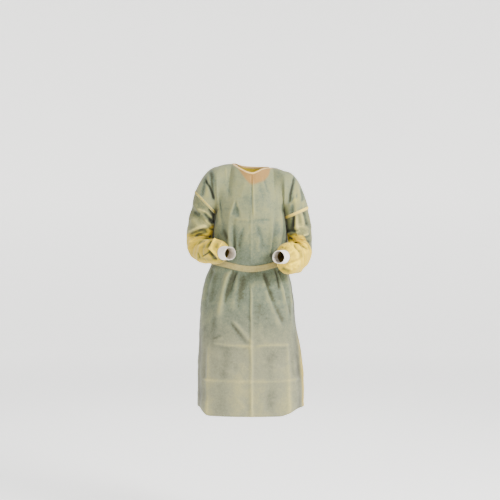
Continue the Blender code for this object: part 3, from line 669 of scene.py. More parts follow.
    def point(self, across: Any, row: Any, facing: Facing) -> np.ndarray:
        """The smooth cloth with its large folds.

        Down to row 1 each column is a cubic Bezier curve from the top line to the section at
        the armpit's height. Below, a row is that height's section.

        Args:
            across: places across the front or the back.
            row: 0 at the top line, 1 at the armpit's height, 2 at the hem.
            facing: front or back.

        Returns:
            Points in the object's frame.
        """
        across, row = spread(across, row)
        turn = self.turn(across, facing)
        level = self.armpit + np.clip(row - 1, 0, None) * (self.hem - self.armpit)
        height = self.row_height(level, turn)
        lower = stack(*self.section(turn, level), height)
        lower = lower + self.fold_push(turn, height)[..., None] * self.outwards(turn)
        places = np.linspace(0, 1, len(self.upper_rows))
        t = smooth_through(places, self.upper_rows, np.clip(row, 0, 1))[..., None]
        top = self.top_line(across, facing)
        foot = stack(*self.section(turn, self.armpit), self.armpit)
        table = self.front_columns if facing is Facing.FRONT else self.back_columns
        roll, drop, bulge, rise = (
            read_table(table, "across", name, np.abs(across))
            for name in ("roll", "drop", "bulge", "rise")
        )
        leave = top + stack(0.0, facing.value * roll, -drop)
        arrive = foot + stack(0.0, facing.value * bulge, rise)
        upper = (1 - t) ** 3 * top + 3 * (1 - t) ** 2 * t * leave
        upper = upper + 3 * (1 - t) * t**2 * arrive + t**3 * foot
        push = self.fold_push(turn, upper[..., 2]) * ease(t[..., 0] / self.fold_top_fade)
        upper = upper + push[..., None] * self.outwards(turn)
        return np.where((row <= 1)[..., None], upper, lower)

    @staticmethod
    def outwards(turn: Any) -> np.ndarray:
        """The level direction straight out of the body."""
        return stack(np.sin(np.radians(turn)), -np.cos(np.radians(turn)), 0.0)

    def normal(self, across: np.ndarray, row: np.ndarray, facing: Facing) -> np.ndarray:
        """Outward normals, from points a small step either way across and down."""
        beside = self.point(across + STEP, row, facing) - self.point(across - STEP, row, facing)
        upper, lower = np.clip(row - STEP, 0, 2), np.clip(row + STEP, 0, 2)
        below = self.point(across, lower, facing) - self.point(across, upper, facing)
        return unit(np.cross(below, beside)) * -facing.value

    def detail(self, points: np.ndarray, across: Any, row: Any, facing: Facing) -> tuple:
        """Height of the creases and facets, none under the tie and at the top line.

        Creases lie by their turn and height. The back's turns run on from 90 to 270 degrees.
        A side seam is drawn in by a shallow groove.

        Returns:
            Heights, and how far the cloth stands clear of what lies under it, with painted shade in
            grooves and a painted highlight on crests.
        """
        turn = self.turn(across, facing)
        z = points[..., 2]
        round_it = turn if facing is Facing.FRONT else turn % 360
        creased = relief(self.creases[facing], round_it, z, (np.radians(1) * self.fold_radius, 1.0))
        faceted = sum(facets.at(points) for facets in self.facets)
        height = (creased + faceted) * ease(row / self.calm_rows) * self.free(turn, z)
        far = (1 - np.abs(across)) * self.side_arc / self.seam_width
        height = height - self.seam_dent * np.exp(-(far**2)) * ease((row - 1) / self.calm_rows)
        clear = clearance_and_painted_light(creased, faceted, self.fold_push(turn, z))
        hang = read_table(self.hang, "height", "clear", z)
        beside = read_table(self.hang, "height", "beside", z)
        # The beside values paint the sides darker, partly painted shade.
        return height, clear + hang + (beside - hang) * np.sin(np.radians(turn)) ** 4

    def surface(self, across: Any, row: Any, facing: Facing, lift: Any = 0.0) -> tuple:
        """The finished cloth at a lift along its normal, and its clearance, with painted light."""
        across, row = spread(across, row)
        points = self.point(across, row, facing)
        height, clear = self.detail(points, across, row, facing)
        return points + self.normal(across, row, facing) * (height + lift)[..., None], clear

    def lap(self, across: Any) -> np.ndarray:
        """How far the outer back panel stands off the inner one."""
        return self.overlap_lift * ease((across + self.neck_span) / self.overlap_ease)

    def wing_lift(self, arm: Arm, angle: Any) -> np.ndarray:
        """How far above the sleeve seam the point stands that bows a wing."""
        down = np.abs(wrapped(np.asarray(angle, float))) / 180
        return arm.rise * np.cos(down * np.pi / 2) ** self.wing_rise_power + self.wing_rise_under

    def wing_share(self, arm: Arm, angle: Any, distance: float) -> np.ndarray:
        """The share of a wing's line out that ends this far from its seam, by its end slope."""
        return distance / (2 * self.wing_lift(arm, angle) * math.hypot(1, arm.inset / arm.rise))

    def wing_point(self, arm: Arm, out: Any, angle: Any) -> np.ndarray:
        """A dropped shoulder, from the side column to the sleeve seam, without its own creases.

        Each line out along the arm is a quadratic Bezier curve. Its middle point lies up the
        arm from the seam, high on the shoulder line and low under the arm.

        Args:
            arm: the arm that it covers.
            out: 0 at the side column and 1 at the sleeve seam.
            angle: degrees round the arm, 0 on the shoulder line, over 0 in front.

        Returns:
            Points in the object's frame.
        """
        out, angle = spread(out, angle)
        angle = wrapped(angle)
        down = np.abs(angle) / 180
        column = np.full(out.shape, float(arm.side.value))
        front, back = (self.surface(column, down, facing)[0] for facing in Facing)
        side = np.where((angle >= 0)[..., None], front, back)
        half = arm.point(0.0, angle)
        lift = self.wing_lift(arm, angle)
        middle = half + stack(-arm.side.value * arm.inset * lift / arm.rise, 0.0, lift)
        t = out[..., None]
        return (1 - t) ** 2 * side + 2 * t * (1 - t) * middle + t**2 * half

    def wing(self, arm: Arm, out: Any, angle: Any, lift: Any = 0.0) -> tuple:
        """The finished dropped shoulder at a lift along its normal, and its clearance, with painted
        light.
        """
        out, angle = spread(out, angle)
        points = self.wing_point(arm, out, angle)
        beside = self.wing_point(arm, out + STEP, angle) - points
        below = self.wing_point(arm, out, angle + 180 * STEP) - points
        normal = unit(np.cross(below, beside)) * arm.side.value
        creased = relief(arm.wing_creases, out, angle, (self.wing_width, self.wing_girth / 360))
        creased = creased + arm.front_relief(points, normal)
        faceted = sum(facets.at(points) for facets in self.facets)
        inner, outer = self.wing_calm
        height = (creased + faceted) * ease(out / inner) * ease((1 - out) / outer)
        hang = read_table(self.hang, "height", "clear", points[..., 2])
        clear = clearance_and_painted_light(creased * arm.crease_light_gain, faceted)
        return points + normal * (height + lift)[..., None], clear + hang


# ---------------------------------------------------------------- colour and finish
def linear(code: str) -> tuple:
    """Turns an sRGB hex code into linear red, green, blue and alpha 1."""
    values = np.array([int(code[i : i + 2], 16) for i in (1, 3, 5)]) / 255
    values = np.where(values <= 0.04045, values / 12.92, ((values + 0.055) / 1.055) ** 2.4)
    return (*map(float, values), 1.0)


def add_node(tree: Any, kind: str, settings: dict | None = None, links: dict | None = None) -> Any:
    """Adds one node.

    Args:
        tree: the material's node tree.
        kind: the node's type name.
        settings: values by name; a name that is an input socket sets its default.
        links: output sockets by the name or number of the input that they go into.

    Returns:
        The node.
    """
    node = tree.nodes.new(kind)
    for name, value in (settings or {}).items():
        if isinstance(name, int) or name in node.inputs:
            node.inputs[name].default_value = value
        else:
            setattr(node, name, value)
    for name, socket in (links or {}).items():
        tree.links.new(socket, node.inputs[name])
    return node


def add(tree: Any, operation: str, first: Any, second: Any) -> Any:
    """Joins two values by a sum or a product; the second may be a fixed number."""
    settings, links = {"operation": operation}, {0: first}
    (settings if isinstance(second, float) else links)[1] = second
    return add_node(tree, "ShaderNodeMath", settings, links).outputs[0]


def mix(tree: Any, share: Any, low: Any, high: Any) -> Any:
    """Mixes two colours, each a socket or a fixed colour, by a share."""
    settings, links = {"data_type": "RGBA"}, {0: share}
    for number, colour in ((6, low), (7, high)):
        (settings if isinstance(colour, tuple) else links)[number] = colour
    return add_node(tree, "ShaderNodeMix", settings, links).outputs[2]


def level(tree: Any, value: Any, low: float, high: float, to_low: float, to_high: float) -> Any:
    """Maps a value's range onto another, held at its ends."""
    settings = {"From Min": low, "From Max": high, "To Min": to_low, "To Max": to_high}
    return add_node(tree, "ShaderNodeMapRange", settings, {"Value": value}).outputs["Result"]


def end_material(tree: Any, settings: dict, links: dict) -> None:
    """Ends a material with its one shader and the output."""
    shader = add_node(tree, "ShaderNodeBsdfPrincipled", settings, links)
    add_node(tree, "ShaderNodeOutputMaterial", {}, {"Surface": shader.outputs[0]})


def fresh_material(name: str) -> tuple:
    """An empty node material and its tree."""
    made = bpy.data.materials.new(name)
    made.use_nodes = True
    made.node_tree.nodes.clear()
    return made, made.node_tree


@dataclass(frozen=True)
class Nonwoven:
    """Spunbonded polypropylene, calendered: matt felted fibres with rows of pressed dots.

    The eye gets a soft cloudy cloth, paler along hard creases, that takes the tone of what it
    lies over: sage over the dark layer, clear yellow where it is alone. Its tones also hold painted
    light: darker down in grooves, painted shade, and paler on crests, painted highlight.
    """

    name: str
    # over, low and alone each run from painted shade down in a groove to a painted highlight on a
    # crest, on top of the tone of what lies under the cloth.
    over: tuple  # tones over a dark layer, from down in a groove, by touching it, to a crest
    low: tuple  # the same low on the gown
    alone: tuple  # the same where it is by itself
    warm: str  # at the neck, where what lies under it is pale
    thread: str = "#d8c790"
    marks: tuple = (-0.8, -0.3, 0.05, 0.5, 1.0, 1.7)  # how clear it stands at those tones
    cloud_mm: float = 70.0
    mottle_mm: float = 9.0
    patchy: float = 0.17
    fibre_mm: float = 4.0  # real fibres lie in wisps of 1 to 2 mm, drawn coarser
    dot_mm: float = 2.6  # the real dots are 1.5 mm apart, drawn coarser so that they show
    roughness: float = 0.78
    sheen: float = 0.12
    bump_mm: float = 0.16
    stitch_mm: float = 0.0  # a stitch and the space after it, where the cloth is sewn

    def build(self) -> Any:
        """The node material: tone by attributes, cloud, fibre and dots, then the shader."""
        made, tree = fresh_material(self.name)
        place = add_node(tree, "ShaderNodeTexCoord").outputs["Object"]
        cloth = add_node(tree, "ShaderNodeUVMap", {"uv_map": "cloth"}).outputs["UV"]
        lined, low, stand_and_painted_light, warm = (
            add_node(tree, "ShaderNodeAttribute", {"attribute_name": name}).outputs["Fac"]
            for name in ("lined", "low", "stand_and_painted_light", "warm")
        )
        cloud, mottle, fibre = (
            add_node(
                tree,
                "ShaderNodeTexNoise",
                {"Scale": 1000 / size, "Detail": detail, "Roughness": 0.6, "Distortion": twist},
                {"Vector": place},
            ).outputs["Fac"]
            for size, detail, twist in (
                (self.cloud_mm, 3.0, 0.4),
                (self.mottle_mm, 3.0, 0.8),
                (self.fibre_mm, 3.0, 0.6),
            )
        )
        # cloth that hangs free touches and leaves the layer below it in patches
        patches = level(tree, cloud, 0.32, 0.68, -self.patchy, self.patchy)
        blots = level(tree, mottle, 0.32, 0.68, -self.patchy, self.patchy)
        stand_and_painted_light = add(tree, "ADD", stand_and_painted_light, add(tree, "ADD", patches, blots))
        # Painted light: each ramp darkens grooves as painted shade and lightens crests as painted
        # highlight.
        high, below, bare = (
            self.ramp(tree, stand_and_painted_light, codes) for codes in (self.over, self.low, self.alone)
        )
        tone = mix(tree, low, high, below)
        tone = mix(tree, warm, tone, linear(self.warm))
        tone = mix(tree, lined, bare, tone)
        dots = add_node(
            tree,
            "ShaderNodeTexVoronoi",
            {"Scale": 1000 / self.dot_mm, "Randomness": 0.15},
            {"Vector": cloth},
        ).outputs["Distance"]
        dent = level(tree, dots, 0.12, 0.34, 0.0, 1.0)
        fibrous = level(tree, fibre, 0.25, 0.75, 0.88, 1.10)
        dotted = level(tree, dent, 0.0, 1.0, 0.955, 1.01)
        shade = add(tree, "MULTIPLY", fibrous, dotted)
        coloured = add_node(
            tree,
            "ShaderNodeVectorMath",
            {"operation": "SCALE"},
            {0: tone, "Scale": shade},
        ).outputs[0]
        grain = add(tree, "ADD", fibre, dent)
        if self.stitch_mm:
            thread = self.stitches(tree, cloth)
            coloured = mix(tree, thread, coloured, linear(self.thread))
            grain = add(tree, "ADD", grain, add(tree, "MULTIPLY", thread, 3.0))
        bump = add_node(
            tree,
            "ShaderNodeBump",
            {"Strength": 0.5, "Distance": self.bump_mm / 1000},
            {"Height": grain},
        ).outputs["Normal"]
        rough = level(tree, cloud, 0.3, 0.7, self.roughness - 0.06, self.roughness + 0.06)
        end_material(
            tree,
            {"Sheen Weight": self.sheen, "Sheen Roughness": 0.5, "IOR": 1.49},
            {"Base Color": coloured, "Roughness": rough, "Normal": bump},
        )
        return made

    def inside(self) -> "Nonwoven":
        """The same cloth's inner face, which nothing lies under."""
        name = f"{self.name} inside"
        return replace(self, name=name, over=self.alone, low=self.alone, warm=self.alone[3])

    def stitches(self, tree: Any, cloth: Any) -> Any:
        """Dashes along the sewn lines, one for each wave of bands slanted across the cloth.

        The band texture's phase is 10 times the sum of the coordinates times its scale, so one
        wave takes 2 pi / (10 x scale) metres along either thread.
        """
        sewn = add_node(tree, "ShaderNodeAttribute", {"attribute_name": "sewn"}).outputs["Fac"]
        settings = {"bands_direction": "DIAGONAL", "Scale": 200 * math.pi / self.stitch_mm}
        wave = add_node(tree, "ShaderNodeTexWave", settings, {"Vector": cloth}).outputs["Fac"]
        dash = level(tree, wave, 0.20, 0.40, 0.0, 1.0)
        return add(tree, "MULTIPLY", dash, level(tree, sewn, 0.55, 0.75, 0.0, 1.0))

    def ramp(self, tree: Any, value: Any, codes: tuple) -> Any:
        """Runs from tone to tone as a value passes the marks."""
        tone = linear(codes[0])
        for before, mark, code in zip(self.marks, self.marks[1:], codes[1:]):
            share = level(tree, value, before, mark, 0.0, 1.0)
            tone = mix(tree, share, tone, linear(code))
        return tone


@dataclass(frozen=True)
class Knit:
    """White polyester rib knit: matt and fuzzy, with fine ribs along the cuff."""

    name: str = "white polyester rib knit"
    colour: str = "#f3ebdf"
    # painted shade: the colour of the ribs' valleys
    valley_shade: str = "#cfc3b2"
    stitch_mm: float = 1.4
    roughness: float = 0.9

    def build(self) -> Any:
        """The node material: painted shade in the ribs' valleys, and rows of stitches as bump."""
        made, tree = fresh_material(self.name)
        cloth = add_node(tree, "ShaderNodeUVMap", {"uv_map": "cloth"}).outputs["UV"]
        rib = add_node(tree, "ShaderNodeAttribute", {"attribute_name": "folded"}).outputs["Fac"]
        tone = mix(tree, rib, linear(self.valley_shade), linear(self.colour))
        rows = add_node(
            tree,
            "ShaderNodeTexWave",
            {"wave_type": "BANDS", "bands_direction": "Y", "Scale": 318 / self.stitch_mm,
             "Distortion": 1.2, "Detail": 1.0},
            {"Vector": cloth},
        ).outputs["Fac"]
        bump = add_node(
            tree, "ShaderNodeBump", {"Strength": 0.6, "Distance": 0.0003}, {"Height": rows}
        ).outputs["Normal"]
        end_material(
            tree,
            {"Roughness": self.roughness, "Sheen Weight": 0.3},
            {"Base Color": tone, "Normal": bump},
        )
        return made


@dataclass(frozen=True)
class Tape:
    """White nylon hook-and-loop tape: a slightly glossy fuzz of tiny loops."""

    name: str = "white nylon hook-and-loop tape"
    colour: str = "#ebe3dc"
    loop_mm: float = 1.2
    roughness: float = 0.6

    def build(self) -> Any:
        """The node material: small cells of loops, in shade and in bump."""
        made, tree = fresh_material(self.name)
        place = add_node(tree, "ShaderNodeTexCoord").outputs["Object"]
        loops = add_node(
            tree, "ShaderNodeTexVoronoi", {"Scale": 1000 / self.loop_mm}, {"Vector": place}
        ).outputs["Distance"]
        shade = level(tree, loops, 0.0, 0.6, 1.0, 0.82)
        tone = add_node(
            tree,
            "ShaderNodeVectorMath",
            {"operation": "SCALE", 0: linear(self.colour)[:3]},
            {"Scale": shade},
        ).outputs[0]
        bump = add_node(
            tree, "ShaderNodeBump", {"Strength": 0.5, "Distance": 0.0003}, {"Height": loops}
        ).outputs["Normal"]
        end_material(tree, {"Roughness": self.roughness}, {"Base Color": tone, "Normal": bump})
        return made


# ---------------------------------------------------------------- meshes
@dataclass
class Grid:
    """A piece of cloth on a grid of points, which becomes an object."""

    name: str
    points: np.ndarray  # rows x columns x 3, NaN where there is no cloth
    outward: bool  # whether down the rows crossed with along the columns points out
    closed: bool = False  # the last column meets the first
    looped: bool = False  # the last row meets the first
    capped: bool = False  # the first and the last row are filled
    wall: float = SHELL
    grow: float = -1.0  # -1 for a wall inside the points, 1 for one outside
    values: dict = field(default_factory=dict)  # attribute name to a rows x columns array

    def faces(self) -> list:
        """Quads between neighbouring points that are there, and the caps, facing out."""
        rows, columns = self.points.shape[:2]
        number = np.arange(rows * columns).reshape(rows, columns)
        right, below = np.roll(number, -1, axis=1), np.roll(number, -1, axis=0)
        corners = np.stack([number, below, np.roll(below, -1, axis=1), right], axis=-1)
        corners = corners[: rows if self.looped else -1, : columns if self.closed else -1]
        corners = corners.reshape(-1, 4)
        there = ~np.isnan(self.points[..., 0]).reshape(-1)
        faces = corners[there[corners].all(axis=1)].tolist()
        if self.capped:
            faces += [number[0].tolist(), number[-1, ::-1].tolist()]
        return faces if self.outward else [face[::-1] for face in faces]

    def lengths(self) -> np.ndarray:
        """UV coordinates in metres: the lengths along the grid's rows and middle column."""
        points = np.nan_to_num(self.points)
        across = np.linalg.norm(np.diff(points, axis=1, prepend=points[:, :1]), axis=-1)
        down = np.linalg.norm(np.diff(points, axis=0, prepend=points[:1]), axis=-1)
        middle = points.shape[1] // 2
        u, v = np.cumsum(across, axis=1), np.cumsum(down, axis=0)[:, middle : middle + 1]
        return np.stack(np.broadcast_arrays(u - u[:, middle : middle + 1], v), axis=-1)

    def build(self, outside: Any, inside: Any = None) -> Any:
        """Makes the mesh, its UV map and attributes, and the object with its wall.

        Args:
            outside: the material of the outer face.
            inside: that of the inner face, or None for the same.

        Returns:
            The object, at the origin.
        """
        points, uv = self.points.reshape(-1, 3), self.lengths().reshape(-1, 2)
        keep = ~np.isnan(points[:, 0])
        number = np.cumsum(keep) - 1
        mesh = bpy.data.meshes.new(self.name)
        mesh.from_pydata(
            points[keep].tolist(), [], [number[face].tolist() for face in self.faces()]
        )
        corner = np.zeros(len(mesh.loops), dtype=np.int32)
        mesh.loops.foreach_get("vertex_index", corner)
        layer = mesh.uv_layers.new(name="cloth")
        layer.data.foreach_set("uv", uv[keep][corner].reshape(-1).astype(np.float32))
        for name, value in self.values.items():
            attribute = mesh.attributes.new(name, "FLOAT", "POINT")
            full = np.broadcast_to(value, self.points.shape[:2]).reshape(-1)[keep]
            attribute.data.foreach_set("value", full.astype(np.float32))
        mesh.shade_smooth()
        for finish in filter(None, (outside, inside)):
            mesh.materials.append(finish)
        made = bpy.data.objects.new(self.name, mesh)
        bpy.context.scene.collection.objects.link(made)
        if self.wall:
            wall = made.modifiers.new("wall", "SOLIDIFY")
            wall.thickness, wall.offset = self.wall, self.grow
            wall.material_offset = 1 if inside else 0
        return made


@dataclass
class Finishes:
    """Every material of the gown, each built once."""

    body: Nonwoven
    sleeve: Nonwoven
    double: Nonwoven
    knit: Knit
    tape: Tape
    made: dict = field(default_factory=dict)

    def of(self, finish: Any) -> Any:
        """The Blender material of a finish."""
        if finish not in self.made:
            self.made[finish] = finish.build()
        return self.made[finish]

    def dress(self, grid: Grid, kind: str, lined: bool = False) -> Any:
        """Makes a piece, rides it on the root and puts it in the stead of its node.

        Args:
            grid: the piece, which has its node's name.
            kind: the field that holds its finish.
            lined: whether its inner face has a material of its own.

        Returns:
            The piece's object.
        """
        finish = getattr(self, kind)
        made = grid.build(self.of(finish), self.of(finish.inside()) if lined else None)
        made.name = f"{grid.name}_worn"
        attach(made, BODY)
        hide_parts(grid.name)
        LOG.info("%s: %d faces", made.name, len(made.data.polygons))
        return made


# ---------------------------------------------------------------- the gown's panels
@dataclass
class Panel:
    """A cut piece of the body between two columns, with its wings."""

    name: str
    facing: Facing
    first: float
    last: float
    flat: tuple
    area: float
    wings: tuple
    lapped: bool = False
    per_half: int = 75
    upper: int = 56
    lower: int = 196
    wing_columns: int = 20
    strip: tuple = (67.0, 102.0)  # turns of the yellow strip at the gown's left
    strip_blur: tuple = (10.0, 16.0)
    strip_top: float = -0.66
    strip_fade: float = 0.24
    neck_blur: float = 0.016
    low_top: float = -0.50
    low_fade: float = 0.35

    def build(self, body: Body, finishes: Finishes) -> None:
        """Works out the panel's cloth and makes it.

        Args:
            body: the surface it is cut from.
            finishes: the gown's materials.
        """
        columns = round((self.last - self.first) * self.per_half) + 1
        across = np.linspace(self.first, self.last, columns)
        down = np.linspace(0, 1, self.upper + 1)
        rows = np.concatenate([down, np.linspace(1, 2, self.lower + 1)[1:]])
        lift = body.lap(across) if self.lapped else 0.0
        points, clear = body.surface(across[None, :], rows[:, None], self.facing, lift)
        turn = np.broadcast_to(body.turn(across, self.facing), clear.shape)
        parts, clears, turns = [points], [clear], [turn]
        for arm in self.wings:
            out = np.arange(1, self.wing_columns + 1) / self.wing_columns
            angle = -180.0 * self.facing.value * down
            own, own_clear = body.wing(arm, out[None, :], angle[:, None])
            blank = np.full((self.lower, self.wing_columns), np.nan)
            own = np.concatenate([own, np.repeat(blank[..., None], 3, axis=-1)])
            own_clear = np.concatenate([own_clear, blank])
            turned = np.full(own_clear.shape, 90.0 * arm.side.value)
            for pieces, piece in zip((parts, clears, turns), (own, own_clear, turned)):
                if arm.side is Side.RIGHT:
                    pieces.insert(0, piece[:, ::-1])
                else:
                    pieces.append(piece)
        points, clear, turn = (
            np.concatenate(pieces, axis=1) for pieces in (parts, clears, turns)
        )
        grid = Grid(self.name, points, outward=self.facing is Facing.FRONT)
        grid.values = self.tones(points, clear, turn)
        made = finishes.dress(grid, "body", lined=True)

    def tones(self, points: np.ndarray, clear: np.ndarray, turn: np.ndarray) -> dict:
        """Where the cloth takes which tone: over what lies below, at the neck, low down, and by
        painted light.
        """
        x, z = np.nan_to_num(points[..., 0]), np.nan_to_num(points[..., 2])
        (first, last), (before, after) = self.strip, self.strip_blur
        strip = ease((turn - first) / before) * ease((last - turn) / after)
        strip = strip * ease((self.strip_top - z) / self.strip_fade)
        neck = ease((z - read_table(SHOW_THROUGH, "x", "low", x)) / self.neck_blur + 0.5)
        return {
            "lined": 1 - np.where(x > 0, strip, 0.0),
            "low": ease((self.low_top - z) / self.low_fade),
            "warm": neck if self.facing is Facing.FRONT else np.zeros(z.shape),
            # This value also paints shade into grooves and a highlight onto crests.
            "stand_and_painted_light": np.nan_to_num(clear),
        }


@dataclass
class Sleeve:
    """A sleeve with the double cloth along its seam."""

    arm: Arm
    flat: tuple
    area: float
    band_flat: tuple
    columns: int = 160
    rows: int = 170
    band: float = 0.0065
    band_rows: int = 5
    band_lift: float = 0.0009
    band_wall: float = 0.0009
    # This paints the band paler along its crest, a painted highlight.
    band_highlight: float = 1.3
    show_blur: float = 0.009

    def build(self, body: Body, finishes: Finishes) -> None:
        """Makes the sleeve and its seam band."""
        arm = self.arm
        angle = np.arange(self.columns) * 360.0 / self.columns
        station = np.linspace(0, 1, self.rows + 1)
        points, clear = arm.surface(station[:, None], angle[None, :])
        grid = Grid(f"sleeve_{arm.name}", points, outward=arm.side is Side.RIGHT, closed=True)
        grid.values = self.tones(points, clear)
        made = finishes.dress(grid, "sleeve", lined=True)
        self.build_band(body, finishes)

    def tones(self, points: np.ndarray, clear: np.ndarray) -> dict:
        """Sage above the line where the dark layer under the sleeve ends, yellow below it."""
        x, z = points[..., 0], points[..., 2]
        wobble = 0.004 * np.sin(x * 190) + 0.003 * np.sin(points[..., 1] * 160 + 1)
        above = z - read_table(self.arm.show_line, "x", "low", x) + wobble / 2
        over = ease(above / self.show_blur + 0.5)
        return {
            "lined": over,
            "low": np.zeros(z.shape),
            "warm": np.zeros(z.shape),
            # Below the line this forearm is painted lighter, painted light; the creases add painted
            # shade and highlight.
            "stand_and_painted_light": clear + self.arm.hang + (1 - over) * self.arm.bright,
        }

    def build_band(self, body: Body, finishes: Finishes) -> None:
        """Lays double cloth over the seam: last of the wing, then first of the sleeve."""
        arm = self.arm
        angle = np.arange(self.columns * 2) * 180.0 / self.columns
        share = np.linspace(0, 1, self.band_rows)[:, None]
        top = self.band_lift * (0.45 + 0.55 * np.sin(share * np.pi / 2))
        back = body.wing_share(arm, angle, self.band) * (1 - share)
        above, _ = body.wing(arm, 1 - back, angle, top)
        below, _ = arm.surface(self.band / arm.length * share[1:], angle, top[::-1][1:])
        points = np.concatenate([above, below])
        name = f"sleeve_seam_{arm.name}"
        outward = arm.side is Side.RIGHT
        grid = Grid(name, points, outward, closed=True, wall=self.band_wall, grow=0.0)
        ridge = np.exp(-(((np.arange(len(points)) / (len(points) - 1) - 0.45) / 0.16) ** 2))
        sewn = np.isin(np.arange(len(points)), (1, len(points) - 2)).astype(float)
        # Painted highlight: the tone rises along the middle of the band.
        stand_and_painted_light = arm.seam_clear + self.band_highlight * ridge
        grid.values = {"lined": 1.0, "stand_and_painted_light": stand_and_painted_light[:, None], "sewn": sewn[:, None]}
        made = finishes.dress(grid, "double")


@dataclass
class Cuff:
    """A knitted tube with ribs along it, drawn in a little towards its end."""

    arm: Arm
    flat: tuple
    ribs: int = 44
    per_rib: int = 8
    rows: int = 30
    length: float = 0.060
    radius: float = 0.0285
    end_radius: float = 0.0265
    rib_height: float = 0.0011
    swell: float = 0.0006
    tuck: float = 0.0012  # how far its first rows are drawn into the sleeve
    tuck_reach: float = 0.04
    wall: float = 0.0012

    def build(self, finishes: Finishes) -> None:
        """Makes the cuff.

        Its radius eases from the sleeve's to the end's, swells by a slow wave, and carries
        a cosine for the ribs, whose valleys are wider than their tops.
        """
        middle, across, down, along = self.arm.frame(1.0)
        turn = np.arange(self.ribs * self.per_rib) * 2 * np.pi / (self.ribs * self.per_rib)
        place_along = np.linspace(0, 1, self.rows + 1)[:, None]
        rib = ((1 + np.cos(turn * self.ribs)) / 2) ** 0.8
        radius = self.radius + (self.end_radius - self.radius) * ease(place_along)
        radius = radius + self.swell * np.sin(place_along * 9 + np.sin(turn * 3))
        radius = radius + self.rib_height * (rib - 0.7)
        radius = radius - self.tuck * ease((self.tuck_reach - place_along) / self.tuck_reach)
        points = middle + (self.length * place_along)[..., None] * along
        points = points + (radius * np.cos(turn))[..., None] * across
        points = points - (radius * np.sin(turn))[..., None] * down
        points = points * self.arm.mirror()
        name = f"cuff_{self.arm.name}"
        outward = self.arm.side is Side.RIGHT
        grid = Grid(name, points, outward, closed=True, wall=self.wall)
        # the rib profile: 0 in the valleys, which the knit paints darker as shade
        grid.values = {"folded": np.broadcast_to(rib, points.shape[:2])}
        made = finishes.dress(grid, "knit")


# ---------------------------------------------------------------- neck
@dataclass
class NeckBinding:
    """A thin band of double cloth folded over the neck edge and stitched."""

    flat: tuple
    start: float = -5 / 15
    end: float = 6 / 15
    around: int = 20
    wall: float = 0.0026
    pucker: float = 0.00035
    pucker_length: float = 0.008
    stitch_line: float = 0.72  # from the edge, as a share of the width
    stitch_dent: float = 0.0005
    steps: tuple = (79, 159, 83)  # along its stretches behind, in front and behind again
    closing: float = 0.0015  # its ends come together over this run

    def build(self, body: Body, finishes: Finishes) -> None:
        """Carries a flat rounded profile along the neck edge.

        The path runs from the inner back panel's end round the neck to the outer one's. The
        profile is an ellipse squared off at its edges, and the stitching pulls a line of small
        puckers into it.
        """
        first, middle, last = self.steps
        stretches = (
            (Facing.BACK, np.linspace(self.start, body.neck_span, first + 1)[:-1]),
            (Facing.FRONT, np.linspace(body.neck_span, -body.neck_span, middle + 1)[:-1]),
            (Facing.BACK, np.linspace(-body.neck_span, self.end, last + 1)),
        )
        edges, aways = zip(*(body.neck_edge(across, facing) for facing, across in stretches))
        edge, away = np.concatenate(edges), np.concatenate(aways)
        lift = np.zeros(len(edge))
        lift[-last - 1 :] = body.lap(stretches[2][1])
        along = unit(np.gradient(edge, axis=0))
        out = unit(np.cross(along, away))
        from_inside = edge - np.array((*body.neck_centre, -0.5))
        out = out * np.sign((out * from_inside).sum(axis=-1, keepdims=True))
        edge = edge + lift[:, None] * out
        run = np.concatenate([[0], np.cumsum(np.linalg.norm(np.diff(edge, axis=0), axis=-1))])
        turn = np.arange(self.around)[:, None] * 2 * np.pi / self.around
        cosine, sine = np.cos(turn), np.sin(turn)
        width, half = body.binding_width, self.wall / 2
        place_across = (1 - signed_power(cosine, 0.7)) / 2
        rise = half * signed_power(sine, 0.6)
        line = np.exp(-(((place_across - self.stitch_line) / 0.09) ** 2))
        wave = np.sin(run / self.pucker_length * 2 * np.pi + 0.8 * np.sin(run * 60))
        rise = rise - line * self.stitch_dent * np.sign(sine) + self.pucker * wave * line
        close = np.clip(np.minimum(run, run[-1] - run) / self.closing, 0.15, 1)
        points = edge + (place_across * width)[..., None] * away + (rise * close)[..., None] * out
        points = np.moveaxis(points, 0, 1)
        grid = Grid("neck_binding", points, outward=True, closed=True, capped=True, wall=0.0)
        grid.values = {"lined": 1.0, "warm": 1.0, "sewn": line.T}
        made = finishes.dress(grid, "double")


class TapeRow(NamedTuple):
    """A tape's two edges as places on a panel."""

    facing: Facing
    inner_across: float
    inner_row: float
    outer_across: float
    outer_row: float
    lift: float


@dataclass
class NeckTape:
    """A strip of hook-and-loop tape laid on the panels from its table's rows."""

    name: str
    rows: tuple
    flat: tuple
    area: float
    fine_rows: int = 60
    fine_columns: int = 14
    wall: float = 0.0010

    def build(self, body: Body, finishes: Finishes) -> None:
        """Reads the table smoothly and lays the tape on the panels, its rim a little lower."""
        knots = np.arange(len(self.rows))
        at = np.linspace(0, len(self.rows) - 1, self.fine_rows)
        table = {
            name: smooth_through(knots, [getattr(row, name) for row in self.rows], at)[:, None]
            for name in ("inner_across", "inner_row", "outer_across", "outer_row", "lift")
        }
        share = np.linspace(0, 1, self.fine_columns)
        across, down = (
            table[f"inner_{way}"] * (1 - share) + table[f"outer_{way}"] * share
            for way in ("across", "row")
        )
        down = np.maximum(down, 0.0)
        lift = np.broadcast_to(table["lift"], across.shape)
        split = sum(row.facing is Facing.BACK for row in self.rows) - 0.5
        behind, _ = body.surface(across, down, Facing.BACK, lift)
        before, _ = body.surface(across, down, Facing.FRONT, lift)
        share_front = ease(at - split + 0.5)[:, None, None]
        points = behind * (1 - share_front) + before * share_front
        grid = Grid(self.name, points, outward=True, wall=self.wall, grow=1.0)
        made = finishes.dress(grid, "tape")


# ---------------------------------------------------------------- waist tie
class Tail(NamedTuple):
    """One end of the tie: where it starts, where it reaches, its length and its swing."""

    side: Side
    start: float
    reach: float
    length: float
    swing: float


